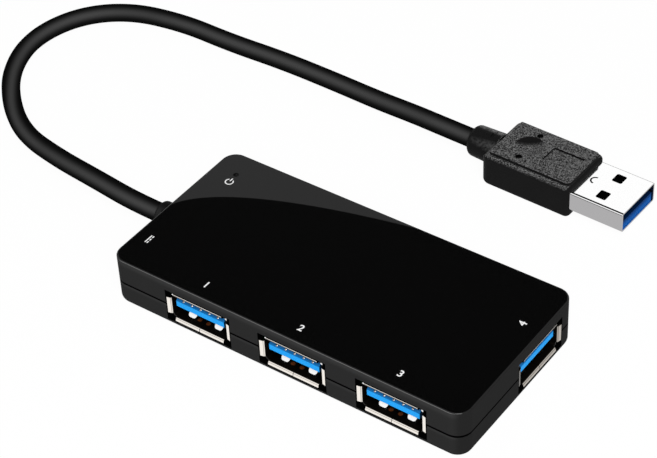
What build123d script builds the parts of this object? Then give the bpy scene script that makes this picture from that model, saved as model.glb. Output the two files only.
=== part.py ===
"""Four-socket hub: a slim two-shell casing round a circuit board, with a short cord that ends in a plug.

Millimetres, +Z up. The origin is the centre of the casing's underside. X runs along the casing, from the
cord's end (-X) to the fourth socket (+X). Sockets 1 to 3 open on the long front side (-Y).
Sub-assemblies that repeat or lie at an angle are made in a frame of their own and moved into place.
"""
from build123d import *
from math import cos, radians, sin, tan
import os

os.makedirs("parts", exist_ok=True)

# ---------------------------------------------------------------- casing
LENGTH = 78.0
WIDTH = 37.6
HEIGHT = 10.9
CORNER_R = 3.0              # upright corners
TOP_EDGE_R = 0.35
BOTTOM_EDGE_R = 1.5
WALL = 1.5
ROOF = 1.4
FLOOR = 1.3
SEAM_Z = 5.3                # parting line between the shells
SEAM_GAP = 0.2              # shadow gap along it
LIP_HEIGHT = 1.0            # lower shell's locating lip, above the seam
LIP_THICKNESS = 0.7
FIT = 0.05                  # between parts that slide or press together

POST_R = 1.7
PEG_R = 0.8
PEG_REACH = 3.5             # of a peg above the board
CORD_POST_INSET = 10.2      # from the cord's end wall
CORD_POST_Y = -4.9
BACK_POST_INSETS = (12.0, 19.5)     # from the two end walls
BACK_POST_SETBACK = 4.4     # from the back wall
END_POST_INSET = 4.8
END_POST_Y = -4.2

HOOK_WIDTH = 4.0
HOOK_THICKNESS = 0.85
HOOK_BARB = 0.4
HOOK_BARB_HEIGHT = 0.8
HOOK_LEAD = 0.5             # height of the barb's sloping foot
HOOK_ABOVE_BOARD = 0.2
BACK_HOOK_INSET = 17.0      # from the end walls

RIB_THICKNESS = 0.8         # ribs that hold the sockets down
RIB_LENGTH = 9.0
RIB_DEPTHS = (4.5, 11.0)    # behind a socket's mouth

# ---------------------------------------------------------------- circuit board
BOARD_THICKNESS = 1.2
BOARD_BOTTOM_Z = 2.2
BOARD_EDGE_GAP = 0.4        # board to casing wall
BOARD_NOTCH_GAP = 0.25      # round a socket or the cord's clamp
BOARD_HOLE_GAP = 0.1        # round a peg or a solder leg

# -------------------------------------------------------- components on the board: length, width, height
CHIP_SIZE = (9.0, 9.0, 0.9)
CHIP_XY = (0.5, 6.5)
CRYSTAL_SIZE = (3.2, 2.5, 0.8)
CRYSTAL_CORNER_R = 0.4
CRYSTAL_XY = (-9.5, 8.0)
REGULATOR_SIZE = (4.5, 2.5, 1.5)
REGULATOR_XY = (-17.0, 9.5)
BULK_SIZE = (2.8, 3.5, 1.9)
BULK_MIDDLE_Y = -4.4        # of the two between the sockets
BULK_END_INSET = 22.0       # of the one behind socket 4, from the end wall
BULK_END_Y = 5.0
BULK_CORD_INSET = 18.2      # of the one at the back, from the cord's end
BULK_BACK_SETBACK = 4.3
CERAMIC_SIZE = (1.6, 0.8, 0.8)
CERAMIC_ROW_Y = 13.0
CERAMIC_ROW_X = (-12.5, -6.0, -3.0, 3.0, 6.0)
CERAMIC_XY = [(8.5, 3.0), (-13.0, 0.5), (9.5, 0.5)]
RESISTOR_SIZE = (1.6, 0.8, 0.45)
RESISTOR_XY = [(-9.5, 4.5), (-9.5, 3.0), (8.5, 8.5), (8.5, 10.0), (0.5, 0.5)]
RESISTOR_FROM_LED = (3.8, -1.5)

# --------------------------------------------------------------- sockets (standard series A, 9 contacts)
FIRST_SOCKET_INSET = 20.3   # socket 1's middle, from the cord's end
THIRD_SOCKET_INSET = 14.9   # socket 3's middle, from the other end
END_SOCKET_Y = 6.9
SOCKET_Z = 5.0
SOCKET_INNER_WIDTH = 12.5
SOCKET_INNER_HEIGHT = 5.12
SOCKET_SHEET = 0.3
SOCKET_CORNER_R = 0.5       # inside the tube
SOCKET_BACK_Y = -4.8        # back of sockets 1 to 3
FLANGE_WIDTH = 14.6         # across the flared lips
FLANGE_HEIGHT = 6.7
FLANGE_SETBACK = 0.05       # lips behind the casing's face
LIP_ANGLE = 78.0            # flare from the socket's axis
LIP_BEND_R = 0.15
LONG_LIP_WIDTH = 11.2
SIDE_LIP_WIDTH = 3.8
SHEET_SEAM = 0.12           # butt seam under the tube
CUTOUT_WIDTH = 15.0         # casing's window round a socket
CUTOUT_HEIGHT = 7.3

SPRING_WIDTH = 1.8
SPRING_X = 3.05
SPRING_TIP_DEPTH = 1.7
SPRING_TIP_R = 0.5
SPRING_CREST_DEPTH = 2.75
SPRING_ROOT_DEPTH = 8.2
ROOF_SPRING_RISE = 0.45     # into the tube
FLOOR_SPRING_RISE = 0.9
SPRING_SLOT = 0.25          # cut round the spring

TONGUE_WIDTH = 11.1
TONGUE_THICKNESS = 1.84
TONGUE_ROOF_GAP = 0.72
TONGUE_FRONT_DEPTH = 0.75
TONGUE_CHAMFER = 0.62
TONGUE_ROOT_DEPTH = 9.2
SIGHT_HOLE_R = 0.25         # in the tongue's sloping nose, over each data contact
SIGHT_HOLE_DEPTH = 0.3

POWER_CONTACT_X = (-3.5, -1.0, 1.0, 3.5)
POWER_CONTACT_WIDTH = 0.7
POWER_TIP_DEPTH = 4.1
POWER_CREST_DEPTH = 5.0
POWER_ROOT_DEPTH = 7.2
POWER_CREST_DROP = 0.6      # below the tongue
POWER_LEVEL = 0.25          # above the tongue's underside
POWER_TAIL_BEHIND = 0.6     # behind the socket's back
DATA_CONTACT_X = (-4.0, -2.0, 0.0, 2.0, 4.0)
DATA_CONTACT_WIDTH = 0.6
DATA_FRONT_DEPTH = 1.2
DATA_PAD_LENGTH = 1.4
DATA_STEP = 0.5
DATA_LEVEL = 0.9
DATA_NOSE_DROP = 0.45       # from the tongue's top to the contact's upturned end
DATA_TAIL_BEHIND = 2.0
CONTACT_THICKNESS = 0.2
CONTACT_FOOT = 0.7

LEG_WIDTH = 1.6
LEG_REACH = 1.5             # from the tube's side to the leg
LEG_BELOW_BOARD = 0.6
LEG_WINDOW = 1.4            # height of the opening that a leg is lanced from
FRONT_LEG_DEPTH = 4.4
BACK_LEG_INSET = 3.4        # from the socket's back

# ---------------------------------------------------------------- power inlet (3.5 x 1.35 mm)
JACK_Y = -11.1
JACK_LENGTH = 9.5
JACK_WIDTH = 6.4
JACK_HEIGHT = 5.2
JACK_NOSE_R = 2.4
JACK_NOSE_RECESS = 0.1
JACK_NOSE_GAP = 0.15        # to the casing's hole
JACK_BORE_R = 1.85
JACK_BORE_DEPTH = 8.5
JACK_PIN_R = 0.65
JACK_PIN_RECESS = 1.0
JACK_STRIP = 0.3            # thickness of its contacts
JACK_TAIL_WIDTH = 1.2
JACK_FOOT = 1.6
JACK_LEAF_WIDTH = 1.4
JACK_LEAF_START = 3.0
JACK_LEAF_RISE = 0.3        # into the bore

# ---------------------------------------------------------------- power light
LED_INSET = 5.4             # from the cord's end
LED_SETBACK = 5.8           # from the back
LED_SIZE = (1.6, 0.8, 0.6)
LED_HOLE_R = 0.4
SHADE_R = 1.6
SHADE_BORE_R = 1.05
SHADE_FOOT_Z = 4.4

# ---------------------------------------------------------------- cord's entry and wires
CORD_R = 2.0
CORD_Y = 1.0
CORD_Z = 5.3
GLAND_RING_R = 2.8
GLAND_RING_LENGTH = 4.2     # outside the casing
GLAND_NECK_R = 2.5
GLAND_FLANGE_R = 3.4
GLAND_FLANGE_LENGTH = 1.4
GLAND_RING_EDGE_R = 0.7
GLAND_SLOT_PLACES = (1.0, 2.4)      # rows of flex slots, outside the casing
GLAND_SLOT_WIDTH = 0.6
GLAND_SLOT_DEPTH = 0.35
GLAND_SLOT_HEIGHT = 1.8
CLAMP_THICKNESS = 1.0
CLAMP_WIDTH = 9.4
CORD_TAIL = 2.5             # jacketed cord inside the casing, behind the clamp
WIRE_COUNT = 8
WIRE_R = 0.28
WIRE_RING_R = 1.2
WIRE_PITCH = 1.0
WIRE_PAD_INSET = 15.6       # from the cord's end
WIRE_STRAIGHT = 1.8

# ---------------------------------------------------------------- plug (standard series A, 9 contacts)
PLUG_X = 21.2               # centre of the moulding's front face
PLUG_Y = 53.8
PLUG_TURN = -1.8            # degrees about Z
PLUG_SHELL_WIDTH = 12.0
PLUG_SHELL_HEIGHT = 4.5
PLUG_SHEET = 0.3
PLUG_SHELL_CORNER_R = 0.5
PLUG_REACH = 11.75          # shell in front of the moulding
PLUG_BURIED = 7.0           # shell inside the moulding
BODY_LENGTH = 20.7
BODY_WIDTH = 13.5
BODY_HEIGHT = 7.4
BODY_EDGE_R = 0.95
BODY_BACK_R = 2.0           # upright corners at the back
BODY_TAIL_R = 2.2           # back edges above and below
BODY_FRONT_R = 1.2
PAD_WIDTH = 11.7
PAD_RISE = 0.6              # flat grip pad on top of the body
PAD_FRONT_SETBACK = 0.5     # from the body's front face
PAD_BACK_SETBACK = 1.75
PAD_BACK_R = 0.3
PAD_FRONT_R = 0.9
NECK_LENGTH = 6.0
NECK_R = 3.25
NECK_ROOT_R = 3.5
NECK_EDGE_R = 1.2
NOTCH_WIDTH = 0.8           # flex notches at the neck's root, above and below
NOTCH_SPAN = 2.2
NOTCH_DEPTH = 0.4
NOTCH_SETBACK = 0.9         # behind the body
THUMB_R = 3.0
THUMB_DEPTH = 0.65
THUMB_U = -13.3
THUMB_V = 0.1
PIN_MARK_R = 0.62
PIN_MARK_V = 3.9
PIN_MARK_DEPTH = 0.8
GROOVE_WIDTH = 0.55
GROOVE_DEPTH = 0.45
GROOVE_CORNER_R = 0.7
GROOVE_PATH = [(-9.05, -2.05), (-9.05, 2.5), (-2.0, 2.5)]
WINDOW_LENGTH = 2.2
WINDOW_WIDTH = 2.5
WINDOW_CORNER_R = 0.35
WINDOW_TO_TIP = 6.15
WINDOW_SPACING = 6.0
CRESCENT_R = 1.1
CRESCENT_WIDTH = 0.35
CRESCENT_U = 2.0
PLUG_TONGUE_HEIGHT = 1.95
PLUG_TONGUE_RECESS = 0.25
PLUG_BLOCK_U = -0.6         # front of the full-height block inside the shell
PLUG_POWER_SPAN = (2.6, 10.6)
PLUG_POWER_WIDTH = 1.0
PLUG_DATA_TIP_U = 1.9
PLUG_DATA_RISE = 0.55
PLUG_TAIL_LENGTH = 1.5
INNER_MOULD_LENGTH = 6.0
INNER_MOULD_WIDTH = 10.0
INNER_MOULD_HEIGHT = 5.0

# ---------------------------------------------------------------- cord
CORD_BEND = 0.45            # an arc's tangent length, as a share of its shorter run
PLUG_LEAD = 7.6             # last run, in line with the plug
CORD_ROUTE = [
    (-50.0, 1.0, 5.3), (-61.0, 2.6, 4.9), (-73.0, 4.5, 4.0), (-85.0, 7.6, 3.0), (-95.0, 14.3, 2.3),
    (-103.6, 23.6, 2.05), (-107.8, 35.1, 2.05), (-105.0, 47.0, 2.05), (-96.3, 55.0, 2.05),
    (-83.0, 57.7, 2.05), (-69.5, 57.3, 2.05), (-55.5, 58.0, 2.05), (-42.0, 57.7, 2.05),
    (-30.0, 56.7, 2.5), (-20.5, 55.9, 3.3),
]

# ---------------------------------------------------------------- follow-on values
BOARD_TOP_Z = BOARD_BOTTOM_Z + BOARD_THICKNESS
CEILING_Z = HEIGHT - ROOF
LIP_TOP_Z = SEAM_Z + LIP_HEIGHT
INNER_Y = WIDTH / 2 - WALL
TUBE_W = SOCKET_INNER_WIDTH + 2 * SOCKET_SHEET
TUBE_H = SOCKET_INNER_HEIGHT + 2 * SOCKET_SHEET
TONGUE_TOP = SOCKET_INNER_HEIGHT / 2 - TONGUE_ROOF_GAP
TONGUE_FLAT = TONGUE_TOP - TONGUE_THICKNESS     # underside of the tongue
BOARD_LEVEL = BOARD_TOP_Z - SOCKET_Z            # board's top, seen from a socket's axis
JACK_Z = BOARD_TOP_Z + JACK_HEIGHT / 2
CLAMP_DEPTH = WALL + GLAND_FLANGE_LENGTH + 2 * FIT
CLAMP_BACK = CLAMP_DEPTH + CLAMP_THICKNESS
PLUG_Z = (BODY_HEIGHT + PAD_RISE) / 2
PLUG_INNER_W = PLUG_SHELL_WIDTH - 2 * PLUG_SHEET
PLUG_INNER_H = PLUG_SHELL_HEIGHT - 2 * PLUG_SHEET
PLUG_TONGUE_TOP = -PLUG_INNER_H / 2 + PLUG_TONGUE_HEIGHT

SOCKET_DEPTH = WIDTH / 2 + SOCKET_BACK_Y
POWER_TAIL_DEPTH = SOCKET_DEPTH + POWER_TAIL_BEHIND
DATA_TAIL_DEPTH = SOCKET_DEPTH + DATA_TAIL_BEHIND
LEG_DEPTHS = (FRONT_LEG_DEPTH, SOCKET_DEPTH - BACK_LEG_INSET)
SOCKET_PITCH = (LENGTH - FIRST_SOCKET_INSET - THIRD_SOCKET_INSET) / 2
SOCKET_X = [-LENGTH / 2 + FIRST_SOCKET_INSET + step * SOCKET_PITCH for step in range(3)]
MOUTHS = [Plane(origin=(x, -WIDTH / 2, SOCKET_Z), x_dir=(1, 0, 0), z_dir=(0, -1, 0)) for x in SOCKET_X]
MOUTHS.append(Plane(origin=(LENGTH / 2, END_SOCKET_Y, SOCKET_Z), x_dir=(0, 1, 0), z_dir=(1, 0, 0)))
CORD_FACE = Plane(origin=(-LENGTH / 2, CORD_Y, CORD_Z), x_dir=(0, -1, 0), z_dir=(-1, 0, 0))
JACK_FACE = Plane(origin=(-LENGTH / 2, JACK_Y, JACK_Z), x_dir=(0, -1, 0), z_dir=(-1, 0, 0))
PLUG_FRAME = Plane(
    origin=(PLUG_X, PLUG_Y, PLUG_Z),
    x_dir=(cos(radians(PLUG_TURN)), sin(radians(PLUG_TURN)), 0),
    z_dir=(0, 0, 1),
)
BETWEEN_SOCKETS = [(left + right) / 2 for left, right in zip(SOCKET_X, SOCKET_X[1:])]
BACK_HOOK_X = LENGTH / 2 - BACK_HOOK_INSET
HOOKS = [(-BACK_HOOK_X, 1), (BACK_HOOK_X, 1)] + [(x, -1) for x in BETWEEN_SOCKETS]
BACK_POST_Y = WIDTH / 2 - BACK_POST_SETBACK
POSTS = [
    (-LENGTH / 2 + CORD_POST_INSET, CORD_POST_Y),
    (-LENGTH / 2 + BACK_POST_INSETS[0], BACK_POST_Y),
    (LENGTH / 2 - BACK_POST_INSETS[1], BACK_POST_Y),
    (LENGTH / 2 - END_POST_INSET, END_POST_Y),
]
LED_X = -LENGTH / 2 + LED_INSET
LED_Y = WIDTH / 2 - LED_SETBACK
BULK_XY = [(x, BULK_MIDDLE_Y) for x in BETWEEN_SOCKETS]
BULK_XY.append((LENGTH / 2 - BULK_END_INSET, BULK_END_Y))
BULK_XY.append((-LENGTH / 2 + BULK_CORD_INSET, WIDTH / 2 - BULK_BACK_SETBACK))


def finish(name, part):
    """Label a finished piece and write it to its own file."""
    part.label = name
    export_step(part, f"parts/{name}.step")


def depth_plane(x):
    """Lengthwise section of a part that points along its own +Z: local x runs inwards, local y is up."""
    return Plane(origin=(x, 0, 0), x_dir=(0, 0, -1), z_dir=(1, 0, 0))


def ribbon(plane, points, thickness, grow=0.0):
    """Section of a strip of sheet, with mitred bends, whose right-hand side follows the points.

    A grow above 0 adds that gap all round, which makes the slot that the strip lies in.
    """
    path = [Vector(*point) for point in points]
    headings = [(end - start).normalized() for start, end in zip(path, path[1:])]
    path[0] -= headings[0] * grow
    path[-1] += headings[-1] * grow
    mitres = []
    for before, after in zip(headings[:1] + headings, headings + headings[-1:]):
        both = before + after
        mitres.append(both.rotate(Axis.Z, 90) * (2 / both.dot(both)))
    right = [point - mitre * grow for point, mitre in zip(path, mitres)]
    left = [point + mitre * (thickness + grow) for point, mitre in zip(path, mitres)]
    with BuildSketch(plane) as section:
        Polygon(*right, *reversed(left), align=None)
    return section.sketch


# ================================================================ casing
def outline(inset, height):
    """Casing's plan, drawn in by inset, on the level of height."""
    with BuildSketch(Plane.XY.offset(height)) as plan:
        RectangleRounded(LENGTH - 2 * inset, WIDTH - 2 * inset, CORNER_R - inset)
    return plan.sketch


def discs(radius, height):
    """Circles at all screwless posts, on the level of height."""
    with BuildSketch(Plane.XY.offset(height)) as plan:
        with Locations(*POSTS):
            Circle(radius)
    return plan.sketch


def wall_openings():
    """Cuts the sockets' windows and the round holes of the cord and the power inlet."""
    for mouth in MOUTHS:
        with BuildSketch(mouth.offset(WALL)) as window:
            Rectangle(CUTOUT_WIDTH, CUTOUT_HEIGHT)
        extrude(window.sketch, amount=-2 * WALL, mode=Mode.SUBTRACT)
    for face, radius in ((JACK_FACE, JACK_NOSE_R + JACK_NOSE_GAP), (CORD_FACE, GLAND_NECK_R + FIT)):
        with BuildSketch(face.offset(WALL)) as hole:
            Circle(radius)
        extrude(hole.sketch, amount=-2 * WALL, mode=Mode.SUBTRACT)


def socket_ribs(low, high):
    """Ribs across each socket, between two heights over its axis."""
    for mouth in MOUTHS:
        for depth in RIB_DEPTHS:
            with BuildSketch(mouth.offset(-depth)) as rib:
                with Locations((0, (low + high) / 2)):
                    Rectangle(RIB_LENGTH, high - low)
            extrude(rib.sketch, amount=-RIB_THICKNESS)


def cord_clamp(low, high):
    """Half of the rib that holds the strain relief's flange against the end wall."""
    with BuildSketch(CORD_FACE.offset(-CLAMP_DEPTH)) as rib:
        with Locations((0, (low + high) / 2 - CORD_Z)):
            Rectangle(CLAMP_WIDTH, high - low)
        Circle(CORD_R + FIT, mode=Mode.SUBTRACT)
    extrude(rib.sketch, amount=-CLAMP_THICKNESS)


with BuildPart() as lower_shell:
    rim_z = SEAM_Z - SEAM_GAP / 2
    extrude(outline(0, 0), amount=rim_z)
    fillet(lower_shell.faces().sort_by(Axis.Z)[0].edges(), BOTTOM_EDGE_R)
    extrude(outline(WALL - LIP_THICKNESS, rim_z), amount=LIP_TOP_Z - rim_z)
    extrude(outline(WALL, FLOOR), amount=HEIGHT, mode=Mode.SUBTRACT)
    extrude(discs(POST_R, FLOOR), amount=BOARD_BOTTOM_Z - FLOOR)
    extrude(discs(PEG_R, BOARD_BOTTOM_Z), amount=BOARD_THICKNESS + PEG_REACH)
    chamfer(lower_shell.faces().filter_by(Axis.Z).sort_by(Axis.Z)[-len(POSTS):].edges(), PEG_R / 4)
    socket_ribs(FLOOR - SOCKET_Z, -TUBE_H / 2 - FIT)
    cord_clamp(FLOOR, SEAM_Z - FIT)
    for hook_x, side in HOOKS:
        with BuildSketch(Plane.XY.offset(BOARD_TOP_Z + HOOK_ABOVE_BOARD - FIT)):
            with Locations((hook_x, side * INNER_Y)):
                Rectangle(HOOK_WIDTH + 2 * FIT, 2 * HOOK_BARB)
        extrude(amount=HOOK_BARB_HEIGHT + 2 * FIT, mode=Mode.SUBTRACT)
    wall_openings()
finish("lower_shell", lower_shell.part)


def snap_hook(hook_x, side):
    """Snap hook from the ceiling down the inside of the wall, with its barb at the foot."""
    foot = BOARD_TOP_Z + HOOK_ABOVE_BOARD
    step = LIP_TOP_Z + FIT
    section = [
        (-FIT - HOOK_THICKNESS, foot),
        (-FIT, foot),
        (-FIT + HOOK_BARB, foot + HOOK_LEAD),
        (-FIT + HOOK_BARB, foot + HOOK_BARB_HEIGHT),
        (-FIT, foot + HOOK_BARB_HEIGHT),
        (-FIT, step),
        (0, step),
        (0, CEILING_Z),
        (-FIT - HOOK_THICKNESS, CEILING_Z),
    ]
    with BuildSketch(Plane.YZ.offset(hook_x)) as hook:
        Polygon(*[(side * (INNER_Y + out), z) for out, z in section], align=None)
    extrude(hook.sketch, amount=HOOK_WIDTH / 2, both=True)


with BuildPart() as upper_shell:
    rim_z = SEAM_Z + SEAM_GAP / 2
    extrude(outline(0, rim_z), amount=HEIGHT - rim_z)
    fillet(upper_shell.faces().sort_by(Axis.Z)[-1].edges(), TOP_EDGE_R)
    extrude(outline(WALL, rim_z), amount=CEILING_Z - rim_z, mode=Mode.SUBTRACT)
    lip_recess = outline(WALL - LIP_THICKNESS - FIT, rim_z)
    extrude(lip_recess, amount=LIP_TOP_Z + FIT - rim_z, mode=Mode.SUBTRACT)
    extrude(discs(POST_R, BOARD_TOP_Z), amount=CEILING_Z - BOARD_TOP_Z)
    extrude(discs(PEG_R + FIT, BOARD_TOP_Z), amount=PEG_REACH + FIT, mode=Mode.SUBTRACT)
    socket_ribs(TUBE_H / 2 + FIT, CEILING_Z - SOCKET_Z)
    cord_clamp(SEAM_Z + FIT, CEILING_Z)
    for hook_x, side in HOOKS:
        snap_hook(hook_x, side)
    with BuildSketch(Plane.XY.offset(CEILING_Z)):
        with Locations((LED_X, LED_Y)):
            Circle(SHADE_R)
            Circle(SHADE_BORE_R, mode=Mode.SUBTRACT)
    extrude(amount=SHADE_FOOT_Z - CEILING_Z)
    with BuildSketch(Plane.XY.offset(CEILING_Z)):
        with Locations((LED_X, LED_Y)):
            Circle(LED_HOLE_R)
    extrude(amount=ROOF, mode=Mode.SUBTRACT)
    wall_openings()
finish("upper_shell", upper_shell.part)


# ============================================================== circuit board and what is soldered to it
with BuildPart() as circuit_board:
    extrude(outline(WALL + BOARD_EDGE_GAP, BOARD_BOTTOM_Z), amount=BOARD_THICKNESS)
    for mouth in MOUTHS:
        notch_depth = SOCKET_DEPTH + BOARD_NOTCH_GAP
        with BuildSketch(mouth.offset(-notch_depth)):
            with Locations((0, BOARD_LEVEL - BOARD_THICKNESS / 2)):
                Rectangle(TUBE_W + 2 * BOARD_NOTCH_GAP, 2 * BOARD_THICKNESS)
        extrude(amount=notch_depth, mode=Mode.SUBTRACT)
        for depth in LEG_DEPTHS:
            with BuildSketch(mouth.offset(-depth + BOARD_HOLE_GAP)):
                with Locations((0, BOARD_LEVEL - BOARD_THICKNESS / 2)):
                    with GridLocations(TUBE_W + 2 * LEG_REACH + SOCKET_SHEET, 1, 2, 1):
                        Rectangle(SOCKET_SHEET + 2 * BOARD_HOLE_GAP, 2 * BOARD_THICKNESS)
            extrude(amount=-LEG_WIDTH - 2 * BOARD_HOLE_GAP, mode=Mode.SUBTRACT)
    jacket_reach = CLAMP_BACK + CORD_TAIL + BOARD_NOTCH_GAP
    with BuildSketch(CORD_FACE.offset(-jacket_reach)):
        with Locations((0, BOARD_TOP_Z - CORD_Z)):
            Rectangle(CLAMP_WIDTH + 2 * BOARD_NOTCH_GAP, 4 * BOARD_THICKNESS)
    extrude(amount=jacket_reach, mode=Mode.SUBTRACT)
    extrude(discs(PEG_R + BOARD_HOLE_GAP, BOARD_BOTTOM_Z), amount=BOARD_THICKNESS, mode=Mode.SUBTRACT)
finish("circuit_board", circuit_board.part)


def blocks(name, places, size, edge_r=0.0):
    """Equal box-shaped components that stand on the board, as one node of separate solids."""
    length, width, height = size
    with BuildPart() as group:
        with BuildSketch(Plane.XY.offset(BOARD_TOP_Z)):
            with Locations(*places):
                RectangleRounded(length, width, edge_r) if edge_r else Rectangle(length, width)
        extrude(amount=height)
    finish(name, group.part)


blocks("hub_controller_chip", [CHIP_XY], CHIP_SIZE)
blocks("clock_crystal", [CRYSTAL_XY], CRYSTAL_SIZE, CRYSTAL_CORNER_R)
blocks("voltage_regulator", [REGULATOR_XY], REGULATOR_SIZE)
blocks("bulk_capacitors", BULK_XY, BULK_SIZE)
blocks("ceramic_capacitors", CERAMIC_XY + [(x, CERAMIC_ROW_Y) for x in CERAMIC_ROW_X], CERAMIC_SIZE)
led_resistor = (LED_X + RESISTOR_FROM_LED[0], LED_Y + RESISTOR_FROM_LED[1])
blocks("chip_resistors", RESISTOR_XY + [led_resistor], RESISTOR_SIZE)
blocks("power_led", [(LED_X, LED_Y)], LED_SIZE)


# =============================================================== sockets, each made with its mouth on XY
def lip_sizes(tube_half, flange_half):
    """Straight length of a flared lip beyond its bend, and the depth where the bend starts."""
    lean = radians(LIP_ANGLE)
    face_r = LIP_BEND_R + SOCKET_SHEET
    rise = flange_half - tube_half - face_r * (1 - cos(lean)) - SOCKET_SHEET * cos(lean)
    straight = rise / sin(lean)
    return straight, FLANGE_SETBACK + face_r * sin(lean) + straight * cos(lean)


def flared_lip(plane, tube_half, flange_half, width):
    """One lip of the mouth, bent outwards from the tube's wall."""
    straight, bend_depth = lip_sizes(tube_half, flange_half)
    with BuildPart() as lip:
        with BuildSketch(plane):
            with BuildLine():
                root = Line((TUBE_START + SOCKET_SHEET, tube_half), (bend_depth, tube_half))
                bend = JernArc(root @ 1, root % 1, LIP_BEND_R + SOCKET_SHEET, -LIP_ANGLE)
                PolarLine(bend @ 1, straight, direction=bend % 1)
                offset(amount=SOCKET_SHEET, side=Side.RIGHT)
            make_face()
        extrude(amount=width / 2, both=True)
    return lip.part


SIDE_LIP = (SOCKET_INNER_WIDTH / 2, FLANGE_WIDTH / 2)
LONG_LIP = (SOCKET_INNER_HEIGHT / 2, FLANGE_HEIGHT / 2)
TUBE_START = max(lip_sizes(*SIDE_LIP)[1], lip_sizes(*LONG_LIP)[1])
ACROSS_PLANE = Plane(origin=(0, 0, 0), x_dir=(0, 0, -1), z_dir=(0, -1, 0))


def spring_finger(rise):
    """One spring of the tube's floor, held at its back, with a steep nose towards the mouth."""
    level = -TUBE_H / 2
    reach = SPRING_ROOT_DEPTH + SPRING_SLOT
    points = [(SPRING_TIP_DEPTH, level), (SPRING_CREST_DEPTH, level + rise)]
    points += [(SPRING_ROOT_DEPTH, level), (reach, level)]
    with BuildPart() as finger:
        side_view = ribbon(depth_plane(SPRING_X), points, SOCKET_SHEET)
        extrude(side_view, amount=SPRING_WIDTH / 2, both=True)
        with BuildSketch(Plane.XZ) as plan:
            with Locations((SPRING_X, -SPRING_TIP_DEPTH)):
                RectangleRounded(SPRING_WIDTH, 2 * reach, SPRING_TIP_R, align=(Align.CENTER, Align.MAX))
        extrude(plan.sketch, amount=TUBE_H, both=True, mode=Mode.INTERSECT)
    return finger.part


with BuildPart() as socket_shell:
    with BuildSketch(Plane.XY.offset(-TUBE_START)):
        RectangleRounded(TUBE_W, TUBE_H, SOCKET_CORNER_R + SOCKET_SHEET)
        RectangleRounded(SOCKET_INNER_WIDTH, SOCKET_INNER_HEIGHT, SOCKET_CORNER_R, mode=Mode.SUBTRACT)
    extrude(amount=TUBE_START - SOCKET_DEPTH)
    for lip, middle in (
        (flared_lip(depth_plane(0), *LONG_LIP, LONG_LIP_WIDTH), Plane.XZ),
        (flared_lip(ACROSS_PLANE, *SIDE_LIP, SIDE_LIP_WIDTH), Plane.YZ),
    ):
        add(lip)
        mirror(lip, about=middle)
    slot_start = SPRING_TIP_DEPTH - SPRING_SLOT
    with BuildSketch(Plane.XZ):
        with Locations((0, -(slot_start + SPRING_ROOT_DEPTH) / 2)):
            with GridLocations(2 * SPRING_X, 1, 2, 1):
                Rectangle(SPRING_WIDTH + 2 * SPRING_SLOT, SPRING_ROOT_DEPTH - slot_start)
    extrude(amount=TUBE_H, both=True, mode=Mode.SUBTRACT)
    floor_spring = spring_finger(FLOOR_SPRING_RISE)
    add(floor_spring)
    mirror(floor_spring, about=Plane.YZ)
    roof_spring = spring_finger(ROOF_SPRING_RISE)
    mirror(roof_spring, about=Plane.XZ)
    add(roof_spring.rotate(Axis.Z, 180))
    leg_path = [
        (SOCKET_INNER_WIDTH / 2, BOARD_LEVEL),
        (TUBE_W / 2 + LEG_REACH, BOARD_LEVEL),
        (TUBE_W / 2 + LEG_REACH, BOARD_LEVEL - BOARD_THICKNESS - LEG_BELOW_BOARD),
    ]
    for depth in LEG_DEPTHS:
        with BuildSketch(Plane.YZ):
            with Locations((BOARD_LEVEL + SOCKET_SHEET + LEG_WINDOW / 2, -depth - LEG_WIDTH / 2)):
                Rectangle(LEG_WINDOW, LEG_WIDTH)
        extrude(amount=TUBE_W, both=True, mode=Mode.SUBTRACT)
        leg = extrude(ribbon(Plane.XY.offset(-depth), leg_path, SOCKET_SHEET), amount=-LEG_WIDTH)
        mirror(leg, about=Plane.YZ)
    with BuildSketch(Plane.XZ):
        with Locations((0, -SOCKET_DEPTH / 2)):
            Rectangle(SHEET_SEAM, 2 * SOCKET_DEPTH)
    extrude(amount=TUBE_H, mode=Mode.SUBTRACT)

POWER_PATH = [
    (POWER_TIP_DEPTH, TONGUE_FLAT + FIT),
    (POWER_CREST_DEPTH, TONGUE_FLAT - POWER_CREST_DROP),
    (POWER_ROOT_DEPTH, TONGUE_FLAT + POWER_LEVEL),
    (POWER_TAIL_DEPTH, TONGUE_FLAT + POWER_LEVEL),
    (POWER_TAIL_DEPTH, BOARD_LEVEL),
    (POWER_TAIL_DEPTH + CONTACT_FOOT, BOARD_LEVEL),
]
DATA_PATH = [
    (DATA_FRONT_DEPTH, TONGUE_TOP - DATA_NOSE_DROP),
    (DATA_FRONT_DEPTH, TONGUE_FLAT),
    (DATA_FRONT_DEPTH + DATA_PAD_LENGTH, TONGUE_FLAT),
    (DATA_FRONT_DEPTH + DATA_PAD_LENGTH + DATA_STEP, TONGUE_FLAT + DATA_LEVEL),
    (DATA_TAIL_DEPTH, TONGUE_FLAT + DATA_LEVEL),
    (DATA_TAIL_DEPTH, BOARD_LEVEL),
    (DATA_TAIL_DEPTH + CONTACT_FOOT, BOARD_LEVEL),
]


def contact_row(places, width, path, grow=0.0, mode=Mode.ADD):
    """A row of equal contacts, or with grow and Mode.SUBTRACT the slots that they lie in."""
    for x in places:
        section = ribbon(depth_plane(x), path, CONTACT_THICKNESS, grow)
        extrude(section, amount=width / 2 + grow, both=True, mode=mode)


with BuildPart() as socket_power_contacts:
    contact_row(POWER_CONTACT_X, POWER_CONTACT_WIDTH, POWER_PATH)

with BuildPart() as socket_data_contacts:
    contact_row(DATA_CONTACT_X, DATA_CONTACT_WIDTH, DATA_PATH)

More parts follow.
